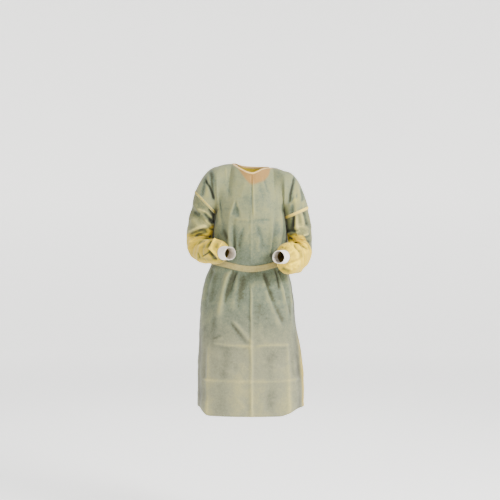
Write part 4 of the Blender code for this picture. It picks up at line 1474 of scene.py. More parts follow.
@dataclass
class WaistTie:
    """A flat tie all round the waist, knotted behind, with its two ends."""

    tails: tuple
    flat: tuple
    wall: float = 0.0013
    lay: float = 0.0006
    columns: int = 340
    rows: int = 10
    crease: float = 0.0006
    outer_edge: float = 6 / 15
    overlap_ease: float = 0.2
    knot_size: tuple = (0.034, 0.013, 0.026)
    knot_out: float = 0.0060
    knot_thick: tuple = (0.0046, 0.0030, 0.0046)
    knot_steps: int = 160
    knot_around: int = 16
    trefoil: tuple = (2.74, 1.0, 3.0)  # the reach of the line's formula along x, y and z
    tail_width: float = 0.024
    tail_nip: float = 0.40
    tail_nip_reach: float = 0.2
    tail_start: float = 0.40
    tail_bend: float = 1.3
    tail_radius: float = 0.15
    tail_out: float = 0.0095
    tail_rows: int = 90
    tail_columns: int = 12
    tail_fold: float = 0.0012
    tail_wave: float = 0.0008

    def build(self, body: Body, finishes: Finishes) -> None:
        """Makes the tie, its knot and its tails."""
        self.build_band(body, finishes)
        self.build_knot(body, finishes)
        for tail in self.tails:
            self.build_tail(tail, body, finishes)

    def build_band(self, body: Body, finishes: Finishes) -> None:
        """Carries the flat tie round the waist, over both back panels."""
        turn = np.arange(self.columns) * 360.0 / self.columns - 180
        behind = np.abs(turn) > 90
        across = np.where(turn < 0, -(turn + 180) / 90, (180 - turn) / 90)
        past = (across - self.outer_edge - 1 / 15) / self.overlap_ease
        lift = np.where(behind, body.lap(across) * (1 - ease(past)), 0.0) + self.lay
        share = np.linspace(0, 1, self.rows + 1)[:, None]
        level = body.belt_top + (body.belt_foot - body.belt_top) * share
        height = body.row_height(level, turn)
        points = stack(*body.section(turn, level), height)
        ripple = self.crease * np.sin(share * np.pi * 3 + 0.6 * np.sin(np.radians(turn) * 7))
        lift = lift + ripple * np.sin(share * np.pi) + self.crease
        beside = np.roll(points, -1, axis=1) - np.roll(points, 1, axis=1)
        normal = unit(np.cross(np.gradient(points, axis=0), beside))
        points = points + lift[..., None] * normal
        grid = Grid("waist_tie", points, outward=True, closed=True, wall=self.wall, grow=1.0)
        made = finishes.dress(grid, "double")

    def build_knot(self, body: Body, finishes: Finishes) -> None:
        """Carries a flat oval round a trefoil, the line that a plain knot follows.

        The line's x is sin t + 2 sin 2t, its z cos t - 2 cos 2t and its y -sin 3t, scaled to
        the knot's size.
        """
        _, y = body.section(np.array(180.0), body.belt_middle)
        centre = np.array((0, float(y) + self.knot_out + self.knot_size[1] / 2, body.belt_middle))
        t = np.arange(self.knot_steps) * 2 * np.pi / self.knot_steps
        line = stack(np.sin(t) + 2 * np.sin(2 * t), -np.sin(3 * t), np.cos(t) - 2 * np.cos(2 * t))
        thick = np.array(self.knot_thick)
        line = line * (np.array(self.knot_size) / 2 - thick) / np.array(self.trefoil)
        along = unit(np.roll(line, -1, axis=0) - np.roll(line, 1, axis=0))
        out = unit(np.cross(along, np.array((0.0, 1.0, 0.0))))
        up = np.cross(out, along)
        turn = np.arange(self.knot_around)[:, None] * 2 * np.pi / self.knot_around
        fold = 1 + 0.12 * np.cos(3 * turn + 2 * t)
        points = line + (thick[0] * fold * np.cos(turn))[..., None] * out
        points = points + (thick[1] * fold * np.sin(turn))[..., None] * up + centre
        grid = Grid("tie_knot", points, outward=True, closed=True, looped=True, wall=0.0)
        finishes.dress(grid, "double")

    def build_tail(self, tail: Tail, body: Body, finishes: Finishes) -> None:
        """Hangs one end of the tie from the knot, clear of the back panels.

        Its middle swings aside by a sine, it widens from its nip at the knot, and a lengthwise
        fold and a slow wave lift it.
        """
        t = np.linspace(0, 1, self.tail_rows)[:, None]
        level = body.belt_middle - self.knot_size[2] * self.tail_start - tail.length * t
        spread = self.tail_nip + (1 - self.tail_nip) * ease(t / self.tail_nip_reach)
        share = np.linspace(-0.5, 0.5, self.tail_columns)
        middle = tail.start + tail.reach * t**self.tail_bend + tail.swing * np.sin(t * np.pi * 2)
        x = middle + self.tail_width * spread * share
        turn = 180 - np.degrees(np.arcsin(x / self.tail_radius))
        _, surface = body.section(turn, level)
        out = self.tail_out + np.clip(body.fold_push(turn, level), 0, None)
        fold = self.tail_fold * np.cos(share * 2 * np.pi * 1.5 + t * 4)
        fold = fold + self.tail_wave * np.sin(t * 14 + share * 3)
        points = stack(x, surface + out + fold * ease(t / 0.1), level)
        name = f"tie_tail_{tail.side.name.lower()}"
        grid = Grid(name, points, outward=False, wall=self.wall)
        made = finishes.dress(grid, "double")


# ---------------------------------------------------------------- studio
@dataclass
class Studio:
    """A pale floor that sweeps up all round, soft lights, and the photograph's camera."""

    camera: tuple = (-0.0044, -4.3, -0.3696)
    lens: float = 70.37
    floor_height: float = -1.62
    floor_reach: float = 8.0
    sweep: float = 2.0
    wall_height: float = 7.0
    floor_colour: str = "#f4f3f0"
    glow: float = 0.95
    world: float = 0.32
    lights: tuple = (  # name, place, size in metres, power in watts
        ("key", (2.8, -2.3, 1.3), 1.1, 290.0),
        ("fill", (-2.6, -2.8, 0.2), 2.4, 12.0),
        ("top", (0.2, -0.4, 3.0), 1.4, 62.0),
        ("rim", (-0.6, 3.0, 1.6), 2.2, 50.0),
    )

    def build(self) -> None:
        """Makes the floor, the world, the lights and the camera."""
        self.build_floor()
        world = bpy.data.worlds.new("studio")
        world.use_nodes = True
        sky = world.node_tree.nodes["Background"]
        sky.inputs["Color"].default_value = linear("#ffffff")
        sky.inputs["Strength"].default_value = self.world
        bpy.context.scene.world = world
        for light in self.lights:
            self.light(*light)
        lens = bpy.data.cameras.new("camera")
        lens.sensor_width, lens.lens, lens.clip_end = 36.0, self.lens, 200.0
        camera = bpy.data.objects.new("camera", lens)
        camera.location, camera.rotation_euler = self.camera, (math.pi / 2, 0, 0)
        bpy.context.scene.collection.objects.link(camera)
        bpy.context.scene.camera = camera

    def build_floor(self) -> None:
        """Turns a profile round the middle: a flat floor, a quarter circle, a low wall."""
        bend = np.linspace(0, np.pi / 2, 24)
        flat = np.linspace(0.01, self.floor_reach, 12)
        out = np.concatenate([flat, self.floor_reach + self.sweep * np.sin(bend[1:])])
        up = np.concatenate([0 * flat, self.sweep * (1 - np.cos(bend[1:]))])
        out, up = np.append(out, out[-1]), np.append(up, self.wall_height)
        turn = np.arange(96) * 2 * np.pi / 96
        out, up = out[:, None], (up + self.floor_height)[:, None]
        points = stack(out * np.cos(turn), out * np.sin(turn), up)
        grid = Grid("studio_floor", points, outward=True, closed=True, wall=0.0)
        made, tree = fresh_material("matt studio paper")
        spot = add_node(tree, "ShaderNodeTexCoord").outputs["Object"]
        noise = add_node(tree, "ShaderNodeTexNoise", {"Scale": 0.8}, {"Vector": spot})
        tone = mix(tree, noise.outputs["Fac"], linear(self.floor_colour), linear("#efeeeb"))
        end_material(
            tree,
            {"Roughness": 0.9, "Emission Color": linear("#ffffff"), "Emission Strength": self.glow},
            {"Base Color": tone},
        )
        grid.build(made)

    def light(self, name: str, where: tuple, size: float, power: float) -> None:
        """A soft square light that faces the gown's middle."""
        lamp = bpy.data.lights.new(name, "AREA")
        lamp.energy, lamp.size = power, size
        made = bpy.data.objects.new(name, lamp)
        made.location = where
        away = Vector((0, 0, -0.5)) - Vector(where)
        made.rotation_euler = away.to_track_quat("-Z", "Y").to_euler()
        bpy.context.scene.collection.objects.link(made)


# ---------------------------------------------------------------- the gown's own tables
SHARP, SOFT, TURNED = Form.SHARP, Form.SOFT, Form.STEP
# The units of a crease's ends, push, width and bow: by degrees round the body and height, by x
# and z, or by the sleeve's own angle and share along it.
BY_TURN = (1, MM, 1, MM, MM, MM, MM, 1)
BY_PLACE = (MM, MM, MM, MM, MM, MM, MM, 1)
BY_SHARE = (1, 1, 1, 1, MM, MM, MM, 1)
CRUMPLE = (
    Facets(cell=0.078, height=0.0030, seed=3),
    Facets(cell=0.034, height=0.0013, seed=11),
)
SLEEVE_CRUMPLE = (
    Facets(cell=0.048, height=0.0026, seed=5, calm=0.7),
    Facets(cell=0.023, height=0.0010, seed=17, calm=0.5),
)
LEVELS = rows(
    Level,
    (MM, MM, MM, MM, MM, 1),
    (-195, 147, 145, 124, 116, 2.15), (-230, 155, 149, 131, 117, 2.15),
    (-290, 163.5, 156, 134, 113, 2.15), (-360, 157, 148, 127, 107, 2.15),
    (-425, 172, 153, 119, 104, 2.15), (-480, 196, 169, 129, 116, 2.3),
    (-585, 219, 187, 146, 136, 2.4), (-700, 226, 198, 157, 148, 2.5),
    (-790, 229, 216, 163, 154, 2.5), (-885, 233, 228, 168, 158, 2.5),
    (-1075, 233, 231, 174, 164, 2.8),
)
# Against the waist and the hips the cloth lies close, and towards the hem it hangs free. The
# lower values beside paint the body's sides darker, partly painted shade.
HANG = rows(
    Hang,
    (MM, 1, 1),
    (0, 0.5, 0.4), (-120, 0.5, 0.38), (-260, 0.42, 0.26), (-380, 0.12, 0.06), (-520, 0.0, 0.0),
    (-660, 0.16, 0.02), (-800, 0.44, 0.06), (-950, 0.62, 0.1), (-1080, 0.68, 0.35),
)
FRONT_NECK = rows(
    NeckPoint,
    (1, MM, MM, MM),
    (-1.0, -76, 12, 13), (-0.78, -62, -28, -1), (-0.48, -37, -57, -18.5), (-0.13, -10, -73, -31),
    (0.08, 7, -75, -34), (0.33, 27, -68, -27), (0.55, 45, -54, -17), (0.8, 70, -26, -10),
    (1.0, 90, 8, -8),
)
BACK_NECK = rows(
    NeckPoint,
    (1, MM, MM, MM),
    (-1.0, -76, 12, 13), (-0.72, -62, 47, 10), (-0.35, -32, 72, 5), (0.0, 3, 80, 3),
    (0.4, 45, 70, 0), (0.78, 78, 40, -4), (1.0, 90, 8, -8),
)
FRONT_COLUMNS = rows(
    Column,
    (1, MM, MM, MM, MM),
    (0.0, 22, 45, -4, 60), (0.3, 26, 40, -3, 60), (8 / 15, 45, 2, 4, 60), (0.78, 80, 0, 35, 58),
    (1.0, 105, 0, 112, 10),
)
BACK_COLUMNS = rows(
    Column,
    (1, MM, MM, MM, MM),
    (0.0, 26, 34, 0, 60), (0.3, 28, 30, 0, 60), (8 / 15, 43, 2, 6, 60), (0.78, 74, 0, 32, 58),
    (1.0, 100, 0, 108, 10),
)
# At the neck the cloth lies over nothing dark, down to this line.
SHOW_THROUGH = rows(
    Glimpse,
    (MM, MM),
    (-80, 50), (-62, 0), (-34, -48), (-4, -83), (36, -78), (64, -62), (80, -34), (92, 30),
)
BODY_FOLDS = rows(
    Fold,
    (1, 1, MM, MM, MM, MM),
    # below the waist, in front
    (-31, -44, -465, -660, -17, 11), (-40, -52, -475, -840, 13, 17), (56, 60, -465, -620, -15, 11),
    (24, 43, -470, -730, -9, 13), (62, 54, -480, -860, 10, 20), (-70, -66, -470, -720, -9, 14),
    (-57, -58, -1100, -700, 7, 22), (50, 51, -1100, -720, 6, 22), (-14, -24, -770, -1100, -4, 30),
    # above the waist, in front
    (-33, -32, -385, -220, -14, 8), (-39, -41, -378, -150, 11, 10), (42, 52, -385, -130, -13, 11),
    (36, 40, -375, -160, 8, 9), (54, 60, -370, -120, 7, 12), (72, 66, -380, -240, -9, 12),
    (-68, -60, -380, -250, -8, 12),
    # behind, above and below the waist
    (152, 163, -460, -740, -15, 12), (143, 140, -475, -860, 11, 18),
    (-150, -158, -460, -700, -14, 12), (-138, -130, -475, -840, 12, 18),
    (-118, -108, -465, -660, -11, 13), (118, 112, -465, -680, -12, 13),
    (-170, -160, -470, -900, 7, 18), (150, 160, -380, -200, -12, 12),
    (-148, -160, -380, -180, -12, 12), (-134, -130, -375, -200, 8, 16),
    (128, 124, -375, -220, -9, 13),
    # loose cloth behind each arm
    (108, 108, -385, -20, 20, 16), (108, 108, -175, -360, 14, 16), (-108, -108, -385, -20, 20, 16),
    (-108, -108, -175, -360, 14, 16),
    # a little more of it in the crook of each arm
    (-100, -100, -335, -200, 13, 18), (100, 100, -350, -220, 13, 18),
    # behind, at the foot of the skirt
    (-132, -134, -1100, -720, 7, 24), (134, 132, -1100, -740, 6, 24),
)
# Creases on the body: turns in degrees and heights. The level ones and the middle one are
# where the gown was folded in its pack.
BODY_CREASES = {
    Facing.FRONT: rows(
        Crease,
        BY_TURN,
        # down the middle, with a nick below the binding
        (1.5, -43, 0.5, -80, -3.4, 4.5, 0, SOFT), (4.0, -62, 4.5, -232, 2, 7.5, 0, SOFT),
        (4.2, -55, 4.6, -245, 4.6, 4.2), (0.6, -70, 1.2, -230, -3.4, 6, 0, SOFT),
        (0.0, -490, 0.5, -810, 4.8, 4.2), (-2.5, -520, -2.0, -780, -1.8, 6.5, 0, SOFT),
        (1.0, -750, 1.5, -1140, 4.6, 4.2, 1),
        # across, where it lay folded
        (-31, -236, -2, -243, 6, 5, 1), (-30, -247, 34, -250, -2.2, 8.5, -1, SOFT),
        (5, -241, 37, -240, -2.6, 5, -1, SOFT), (48, -240, 60, -236, 2.4, 4.6),
        (-74, -598, -16, -592, 1.2, 4.6, 2), (14, -594, 76, -600, 1.2, 4.6, -2),
        (-58, -766, 6, -779, 6.2, 4.8, 2), (-50, -780, 0, -789, -1.6, 8.5, 2, SOFT),
        (3, -776, 58, -773, 5.8, 4.8, -1), (10, -787, 50, -785, -1.6, 8, 0, SOFT),
        (-68, -922, 2, -927, 5.2, 4.8, 1), (-20, -926, 17, -925, 3.4, 4.8),
        (6, -927, 70, -922, 4.8, 4.8, 1), (-31, -664, 2, -780, -3.4, 8, 2, TURNED),
        (-57, -740, -53, -1130, 4.4, 4.8, 1), (-62, -770, -58, -1100, -1.6, 9, 1, SOFT),
        (50, -740, 46, -1130, 4.4, 4.8, -1), (56, -770, 52, -1100, -1.6, 9, -1, SOFT),
        # from the shoulders and the neck towards the waist
        (-66, -4, -46, -118, 3, 8.5, -2, SOFT), (-58, -30, -40, -150, -2.6, 11, 3, SOFT),
        (-84, -120, -47, -300, 4.6, 9.5, 6, SOFT), (-72, -140, -40, -345, -5.6, 11, 6, SOFT),
        (-31, -155, -39, -222, 2.6, 6.5, 1, TURNED), (-31, -155, -19, -238, -2.2, 6.5, -1, TURNED),
        (-29, -180, -28, -236, -2.4, 12, 0, SOFT), (-12, -70, -22, -150, 2, 13, 3, SOFT),
        (15, -70, 26, -160, -2.2, 13, -3, SOFT), (28, -50, 36, -130, -2.2, 7, 3, SOFT),
        (-12, -262, -24, -372, -3, 9, 3, SOFT), (2, -250, -14, -330, 2, 8, -2, SOFT),
        (8, -255, 24, -372, -2.6, 10, -4, SOFT), (16, -300, 12, -384, 2, 8, 2, SOFT),
        (66, -110, 60, -290, 3.6, 7.5, 3, SOFT), (78, -140, 70, -330, -4, 9, 3, SOFT),
        # spreading from the waist tie down the skirt
        (-34, -432, -40, -620, -4, 4.8, 1, SOFT), (-38, -440, -45, -670, 3.4, 6.5, 2, SOFT),
        (-26, -455, -29, -640, 2.6, 10, -3, SOFT), (-14, -465, -20, -640, -2.4, 12, 3, SOFT),
        (-4, -500, -9, -560, 1.8, 5, 1), (8, -500, 1, -535, 1.8, 5),
        (24, -462, 28, -535, 4, 7.5, 1, TURNED), (27, -520, 47, -700, 4, 8.5, 4, TURNED),
        (48, -442, 47, -545, -5.6, 5, 1, SOFT), (52, -450, 53, -600, 3, 7, 1, SOFT),
        (54, -545, 58, -655, 2.6, 4.8, 3, TURNED), (61, -560, 56, -700, -2.6, 8, -2, SOFT),
        (70, -450, 66, -620, 4, 8.5, -3, SOFT), (80, -470, 78, -680, -3.4, 9, 2, SOFT),
        (-62, -450, -58, -640, -1.8, 11, -4, SOFT), (-76, -460, -69, -720, 2.2, 11, 4, SOFT),
        # long soft falls of the skirt
        (-50, -640, -50, -800, -2.6, 12, 4, SOFT), (-34, -760, -38, -1092, -3, 18, 6, SOFT),
        (-14, -800, -18, -1092, 2.2, 20, 4, SOFT), (26, -780, 25, -1092, -3, 18, -5, SOFT),
        (-74, -700, -70, -1092, -3, 14, 5, SOFT), (66, -720, 62, -1092, -3.4, 14, -5, SOFT),
        # short slack creases
        (-52, -755, -40, -735, 2.2, 5, 2, TURNED), (-45, -850, -18, -905, 1.4, 7, 5, SOFT),
        (14, -840, 42, -880, 1.3, 7, -5, SOFT), (-25, -975, -6, -1045, 1.3, 6.5, 3, SOFT),
        (22, -990, 45, -1030, 1.2, 6.5, 3, SOFT), (-10, -640, 12, -700, -1.4, 8, 4, SOFT),
        (10, -700, 24, -770, 1.4, 8, 4, SOFT),
    ),
    Facing.BACK: rows(
        Crease,
        BY_TURN,
        (96, -238, 168, -241, 1.4, 4.6, 1), (192, -241, 264, -237, 1.4, 4.6, -1),
        (97, -596, 263, -600, 0.9, 4.6, 2), (95, -774, 178, -779, 1.5, 4.8, 1),
        (184, -777, 265, -771, 1.4, 4.8, -1), (100, -926, 252, -928, 1, 4.6, 1),
        (128, -90, 127, -370, 1.3, 4.6, 1), (128, -520, 128, -1085, 1.4, 4.6, -1),
        (232, -90, 233, -370, 1.3, 4.6, -1), (232, -520, 232, -1085, 1.4, 4.6, 1),
        (171, -465, 158, -640, -3.2, 8.5, 4, SOFT), (192, -465, 204, -660, -3.2, 8.5, -4, SOFT),
        (165, -455, 148, -600, 2.8, 5.5, 3, SOFT), (199, -455, 215, -620, 2.8, 5.5, -3, SOFT),
        (176, -375, 167, -240, -2.4, 6, 2, SOFT), (186, -375, 197, -230, -2.4, 6, -2, SOFT),
        (140, -120, 150, -300, -2.4, 8, 3, SOFT), (222, -120, 212, -320, -2.4, 8, -3, SOFT),
        (108, -470, 112, -680, 2.6, 8.5, 4, SOFT), (252, -470, 247, -700, 2.6, 8.5, -4, SOFT),
        (150, -700, 152, -1090, -2.4, 15, 4, SOFT), (212, -690, 209, -1090, -2.4, 15, -4, SOFT),
        (112, -860, 136, -905, 1.2, 7, 5, SOFT), (214, -850, 240, -890, 1.1, 7, -5, SOFT),
        (160, -985, 176, -1040, 1.1, 4.6, 2),
    ),
}
RIGHT_ARM = Arm(
    side=Side.RIGHT,
    shoulder=(0.150, 0.006, -0.002),
    armhole=(0.2015, -0.008, -0.160),
    elbow=(0.238, 0.002, -0.374),
    wrist=(0.116, -0.213, -0.382),
    tilt=0.038,
    rise=0.095,
    inset=0.042,
    show_line=rows(
        Glimpse,
        (MM, MM),
        (-290, -304), (-250, -292), (-220, -284), (-190, -277), (-165, -262), (-140, -256),
    ),
    seam_clear=0.15,
    bright=0.0,
    sections=rows(
        SleeveSection,
        (1, MM, MM, MM, 1),
        (0.0, 50, 55, 55, 2.0), (0.15, 56, 58, 57, 2.0), (0.32, 57, 57, 54, 2.2),
        (0.5, 53, 50, 44, 2.8), (0.62, 51, 50, 48, 3.0), (0.75, 52, 52, 49, 2.7),
        (0.88, 49, 52, 47, 2.3), (0.95, 40, 43, 40, 2.1), (1.0, 29, 29, 29, 2.0),
    ),
    folds=rows(
        SleeveFold,
        (1, 1, 1, 1, MM, MM),
        (0.16, 62, 0.1, 55, -9, 11), (0.24, 75, 0.14, 50, 8, 13), (0.36, 85, -0.05, 60, -12, 10),
        (0.44, 95, -0.08, 55, 8, 11), (0.58, 60, 0.16, 60, -7, 12), (0.72, 30, 0.2, 70, 6, 13),
        (0.34, -95, 0.06, 60, -7, 14), (0.62, -60, -0.18, 70, -7, 14),
    ),
    fine_folds=rows(
        SleeveFold,
        (1, 1, 1, 1, MM, MM),
        (0.11, 55, 0.12, 40, 3.5, 6), (0.2, 70, 0.12, 40, -3.5, 6), (0.31, 90, 0.06, 45, 4, 5),
        (0.4, 70, -0.1, 45, -3.5, 5), (0.5, 40, 0.18, 50, 3.5, 6), (0.65, 70, 0.14, 45, 3, 6),
        (0.79, 10, -0.12, 60, -3, 7), (0.86, 80, 0.1, 60, 3, 7), (0.48, -80, 0.1, 50, 3.5, 6),
        (0.72, -90, 0.12, 50, -3.5, 7),
    ),
    front=rows(
        Crease,
        BY_PLACE,
        (-180, -10, -157, -170, -4.8, 12, -3, SOFT), (-175, -15, -152, -175, 3.4, 5, -3),
        (-200, -56, -154, -160, -8.5, 4.4, 0, SOFT), (-188, -31, -208, -153, -1.8, 8.5, -2, TURNED),
        (-213, -82, -219, -139, 1.4, 8, 0, TURNED), (-239, -190, -160, -245, 4.2, 4.2, -10),
        (-184, -184, -149, -229, -6.2, 10, 0, SOFT), (-204, -203, -166, -258, -6.4, 9, 0, SOFT),
        (-187, -235, -151, -249, -4.5, 9, 0, SOFT), (-202, -235, -176, -262, 3.6, 4.2),
        (-183, -263, -140, -246, 4, 4.5), (-251, -204, -217, -218, -2.2, 8, 0, SOFT),
        (-278, -301, -183, -275, -5, 6.5, -6, TURNED), (-187, -274, -145, -289, -4, 6, 0, SOFT),
        (-250, -313, -183, -290, -4.2, 5.5, -2, SOFT), (-192, -319, -171, -307, -6, 4.2, 0, SOFT),
        (-230, -340, -185, -309, -3.4, 5.5, 0, SOFT), (-232, -352, -178, -322, 2.8, 5, 0, TURNED),
        (-197, -329, -203, -365, -3.4, 5.5, 0, SOFT), (-229, -376, -218, -408, -4, 4.5, 0, SOFT),
        (-210, -398, -170, -375, -5, 4.2, 0, SOFT), (-210, -405, -172, -385, 3, 4),
        (-157, -312, -180, -370, -6, 6.5, -2, TURNED),
        (-180, -361, -136, -411, -6, 5.5, -2, TURNED), (-173, -376, -153, -414, -6, 6, 0, SOFT),
        (-117, -334, -145, -397, 4, 4.5, 2), (-139, -394, -115, -418, -4.6, 4.5, 0, SOFT),
        (-157, -321, -97, -338, 3, 5, -11), (-136, -338, -147, -365, -2.6, 7.5, 0, SOFT),
        (-271, -311, -258, -339, 3, 7, 0, SOFT), (-247, -411, -156, -426, 2.6, 6, -5, TURNED),
    ),
    creases=rows(
        Crease,
        BY_SHARE,
        (-60, 0.1, -30, 0.45, 3.6, 8, 4, TURNED), (-120, 0.3, -60, 0.5, 4, 8, -4, TURNED),
        (-150, 0.12, -100, 0.22, -4, 8.5, 3, SOFT), (-40, 0.55, -110, 0.72, -4.2, 8.5, 4, TURNED),
        (-90, 0.74, -150, 0.9, 3.8, 7.5, -3, TURNED),
    ),
    wing_creases=rows(
        Crease,
        BY_SHARE,
        (0.4, -50, 0.95, -95, -3.6, 7.5, 3, SOFT), (0.4, -95, 0.95, -140, 3.2, 8, 3, TURNED),
    ),
    facets=SLEEVE_CRUMPLE,
)
LEFT_ARM = Arm(
    side=Side.LEFT,
    shoulder=(0.145, 0.006, -0.022),
    armhole=(0.2015, -0.008, -0.205),
    elbow=(0.224, 0.002, -0.394),
    wrist=(0.136, -0.213, -0.398),
    tilt=0.016,
    rise=0.150,
    inset=0.040,
    show_line=rows(
        Glimpse,
        (MM, MM),
        (140, -298), (190, -302), (215, -306), (235, -318), (255, -350), (275, -390),
    ),
    seam_clear=1.25,
    bright=0.50,
    sections=rows(
        SleeveSection,
        (1, MM, MM, MM, 1),
        (0.0, 52, 54, 54, 2.0), (0.15, 53, 56, 56, 2.0), (0.32, 52, 56, 55, 2.2),
        (0.48, 50, 50, 50, 2.8), (0.6, 51, 52, 62, 2.8), (0.74, 52, 54, 74, 2.8),
        (0.88, 50, 53, 70, 2.4), (0.95, 40, 43, 50, 2.1), (1.0, 29, 29, 29, 2.0),
    ),
    folds=rows(
        SleeveFold,
        (1, 1, 1, 1, MM, MM),
        (0.22, 60, 0.1, 50, 7, 12), (0.33, 75, -0.06, 60, -11, 10), (0.41, 85, -0.1, 60, 9, 10),
        (0.49, 75, -0.14, 60, -9, 10), (0.57, 60, -0.18, 65, 8, 11), (0.66, 45, -0.2, 65, -8, 12),
        (0.8, 20, 0.2, 70, 7, 13), (0.3, -95, 0.06, 60, -7, 14), (0.64, -70, -0.18, 70, -8, 14),
    ),
    fine_folds=rows(
        SleeveFold,
        (1, 1, 1, 1, MM, MM),
        (0.15, 65, 0.1, 40, -3.5, 6), (0.27, 75, -0.04, 45, 3.5, 5), (0.37, 80, -0.08, 45, 3.5, 5),
        (0.45, 70, -0.12, 45, -3.5, 5), (0.53, 60, -0.16, 45, 3.5, 5), (0.62, 60, -0.18, 45, 3, 6),
        (0.73, 40, -0.1, 55, -3.5, 7), (0.86, 90, 0.1, 60, 3, 7), (0.5, -85, 0.1, 50, 3.5, 6),
        (0.76, -90, 0.12, 50, -3.5, 7),
    ),
    front=rows(
        Crease,
        BY_PLACE,
        (192, -40, 163, -182, -5.8, 6.2, 1, SOFT), (197, -54, 186, -150, 2.4, 6),
        (161, -178, 201, -139, 4.6, 4.2), (175, -153, 206, -129, -4, 5, 0, SOFT),
        (186, -140, 187, -225, -3.4, 8, 0, TURNED), (211, -90, 219, -195, 2.4, 8, 0, TURNED),
        (220, -174, 234, -151, 3.4, 4), (215, -167, 227, -148, -2.4, 4.2, 0, SOFT),
        (224, -185, 239, -159, 3, 4), (191, -213, 190, -287, -6, 7, 0, TURNED),
        (220, -196, 236, -270, 4.6, 7, 0, TURNED), (168, -281, 257, -278, 3, 6, -11),
        (144, -297, 199, -292, -6.6, 8.5, -8, SOFT), (196, -297, 214, -285, 3.6, 4),
        (224, -309, 252, -298, 4.6, 4), (221, -316, 257, -305, -4, 4.5, 0, SOFT),
        (144, -314, 206, -303, -4.4, 5.5, -9, TURNED), (149, -321, 183, -328, -5.6, 4.2, -6, SOFT),
        (160, -311, 184, -323, -5, 4, 0, SOFT), (148, -331, 185, -335, 3.4, 4),
        (179, -327, 247, -370, -5.4, 4.2, 0, SOFT), (187, -323, 247, -359, 3.4, 4.5, -4),
        (178, -342, 207, -382, -5.4, 4.5, 2, SOFT), (170, -347, 197, -388, 3.8, 4.2, 3),
        (193, -365, 202, -412, 4.6, 7, -3, TURNED), (149, -395, 184, -367, 4, 4.2, -4),
        (152, -402, 184, -376, -2.4, 5, 0, SOFT), (121, -347, 168, -354, 3, 5, -11),
        (124, -357, 148, -361, -4, 4, 0, SOFT), (134, -370, 156, -380, -2.8, 4.8, 0, SOFT),
        (138, -428, 206, -405, -5.6, 4.8, 1, SOFT), (154, -432, 206, -413, 3.8, 4.2),
        (208, -410, 180, -448, 3.8, 4.5, -1), (126, -444, 166, -464, -6.6, 8.5, 0, SOFT),
        (142, -435, 175, -453, 3.6, 4.8), (180, -439, 202, -434, -3, 4.5, 0, SOFT),
        (222, -357, 233, -389, 3.2, 5.5), (212, -365, 220, -403, -3, 6, 0, SOFT),
        (141, -407, 155, -419, -5, 4.5, 0, SOFT), (248, -326, 254, -374, -3, 7, 0, SOFT),
    ),
    creases=rows(
        Crease,
        BY_SHARE,
        (-60, 0.1, -30, 0.45, 3.6, 8, 4, TURNED), (-120, 0.3, -60, 0.5, 4, 8, -4, TURNED),
        (-150, 0.1, -95, 0.2, -4, 8.5, 3, SOFT), (-40, 0.58, -110, 0.74, -4.2, 8.5, 4, TURNED),
        (-90, 0.76, -150, 0.9, 3.8, 7.5, -3, TURNED),
    ),
    wing_creases=rows(
        Crease,
        BY_SHARE,
        (0.35, -50, 0.95, -95, -3.6, 7.5, 3, SOFT), (0.35, -95, 0.95, -140, 3.2, 8, 3, TURNED),
    ),
    facets=SLEEVE_CRUMPLE,
)
BODY_FORM = Body(
    arms=(RIGHT_ARM, LEFT_ARM),
    levels=LEVELS,
    folds=BODY_FOLDS,
    front_neck=FRONT_NECK,
    back_neck=BACK_NECK,
    front_columns=FRONT_COLUMNS,
    back_columns=BACK_COLUMNS,
    creases=BODY_CREASES,
    facets=CRUMPLE,
    hang=HANG,
)
BACK, FRONT = Facing.BACK, Facing.FRONT
TAPE_ROWS = rows(
    TapeRow,
    (1,) * 6,
    (BACK, 4 / 15, 0.004, 4 / 15, 0.125, 0.0046), (BACK, 5 / 15, 0.004, 5 / 15, 0.125, 0.0046),
    (BACK, 6 / 15, 0.004, 0.42, 0.120, 0.0046), (BACK, 0.48, 0.004, 0.55, 0.115, 0.0038),
    (BACK, 0.55, 0.004, 0.68, 0.06, 0.0028), (FRONT, 0.56, 0.004, 0.74, 0.004, 0.0024),
    (FRONT, 0.55, 0.05, 0.70, 0.05, 0.0023), (FRONT, 0.545, 0.09, 0.69, 0.09, 0.0023),
    (FRONT, 0.54, 0.115, 0.685, 0.115, 0.0007),
)


# The yellow cloth's own tones; they run from painted shade in a groove to a painted highlight on a
# crest.
ALONE = ("#3e3c06", "#6e6608", "#92800a", "#b2960e", "#c8a812", "#f0cc1c")


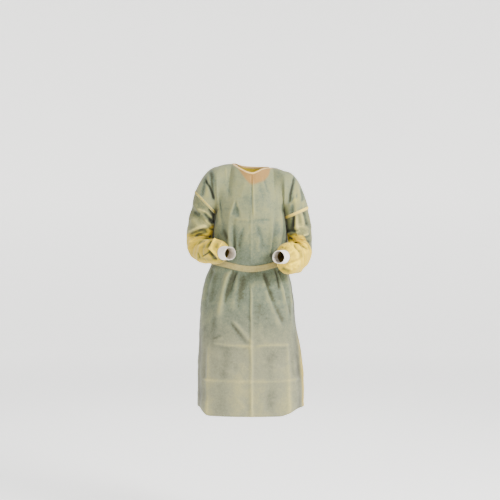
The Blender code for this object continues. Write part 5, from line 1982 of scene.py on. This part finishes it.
def main() -> None:
    """Builds the gown's pieces in order, then the studio, and reports each."""
    logging.basicConfig(level=logging.INFO, format="%(message)s")
    body = BODY_FORM
    # Each finish's tones run from painted shade in a groove to a painted highlight on a crest, on
    # top of the tone of what lies under the cloth.
    finishes = Finishes(
        body=Nonwoven(
            name="spunbonded polypropylene body",
            over=("#1b1e0a", "#3c4026", "#525d49", "#737651", "#82804f", "#9f9a50"),
            low=("#2e2d1e", "#4b4b37", "#5f604a", "#75755a", "#8a865c", "#a89f66"),
            alone=ALONE,
            warm="#8f6b30",
        ),
        sleeve=Nonwoven(
            name="spunbonded polypropylene sleeve",
            over=("#1b1e0a", "#30341a", "#444c34", "#66673f", "#86824c", "#b0a55e"),
            low=ALONE,
            alone=ALONE,
            warm=ALONE[3],
        ),
        double=Nonwoven(
            name="double spunbonded polypropylene",
            over=("#3a3a1c", "#50502a", "#66683c", "#8c8442", "#ac9a3e", "#dcbc48"),
            low=ALONE,
            alone=("#665c2c", "#85783f", "#948852", "#9c8f54", "#a99d5e", "#c0b070"),
            warm="#c8a566",
            cloud_mm=14.0,
            stitch_mm=3.0,
        ),
        knit=Knit(),
        tape=Tape(),
    )
    panels = (
        Panel("front_panel", Facing.FRONT, -1.0, 1.0, (0.86, 1.12), 0.62, body.arms),
        Panel("back_panel_right", Facing.BACK, -1.0, 0.4, (0.60, 1.12), 0.41, body.arms[:1], True),
        Panel("back_panel_left", Facing.BACK, -1 / 3, 1.0, (0.58, 1.12), 0.38, body.arms[1:]),
    )
    for panel in panels:
        panel.build(body, finishes)
    for arm in body.arms:
        Sleeve(arm, (0.42, 0.42), 0.147, (0.36, 0.013)).build(body, finishes)
        Cuff(arm, (0.19, 0.060)).build(finishes)
    NeckBinding(flat=(0.715, 0.0105)).build(body, finishes)
    loop = tuple(row._replace(lift=0.0007) for row in TAPE_ROWS[3:9])
    NeckTape("neck_loop_strip", loop, (0.012, 0.027), 0.00024).build(body, finishes)
    NeckTape("neck_hook_tab", TAPE_ROWS[0:8], (0.010, 0.098), 0.0006).build(body, finishes)
    tails = rows(
        Tail,
        (1, MM, MM, 1, MM),
        (Side.RIGHT, -6.5, -34, 0.30, -10), (Side.LEFT, 6.5, 24, 0.25, 8),
    )
    WaistTie(tails, (0.88, 0.026)).build(body, finishes)
    Studio().build()


if __name__ == "__main__":
    main()
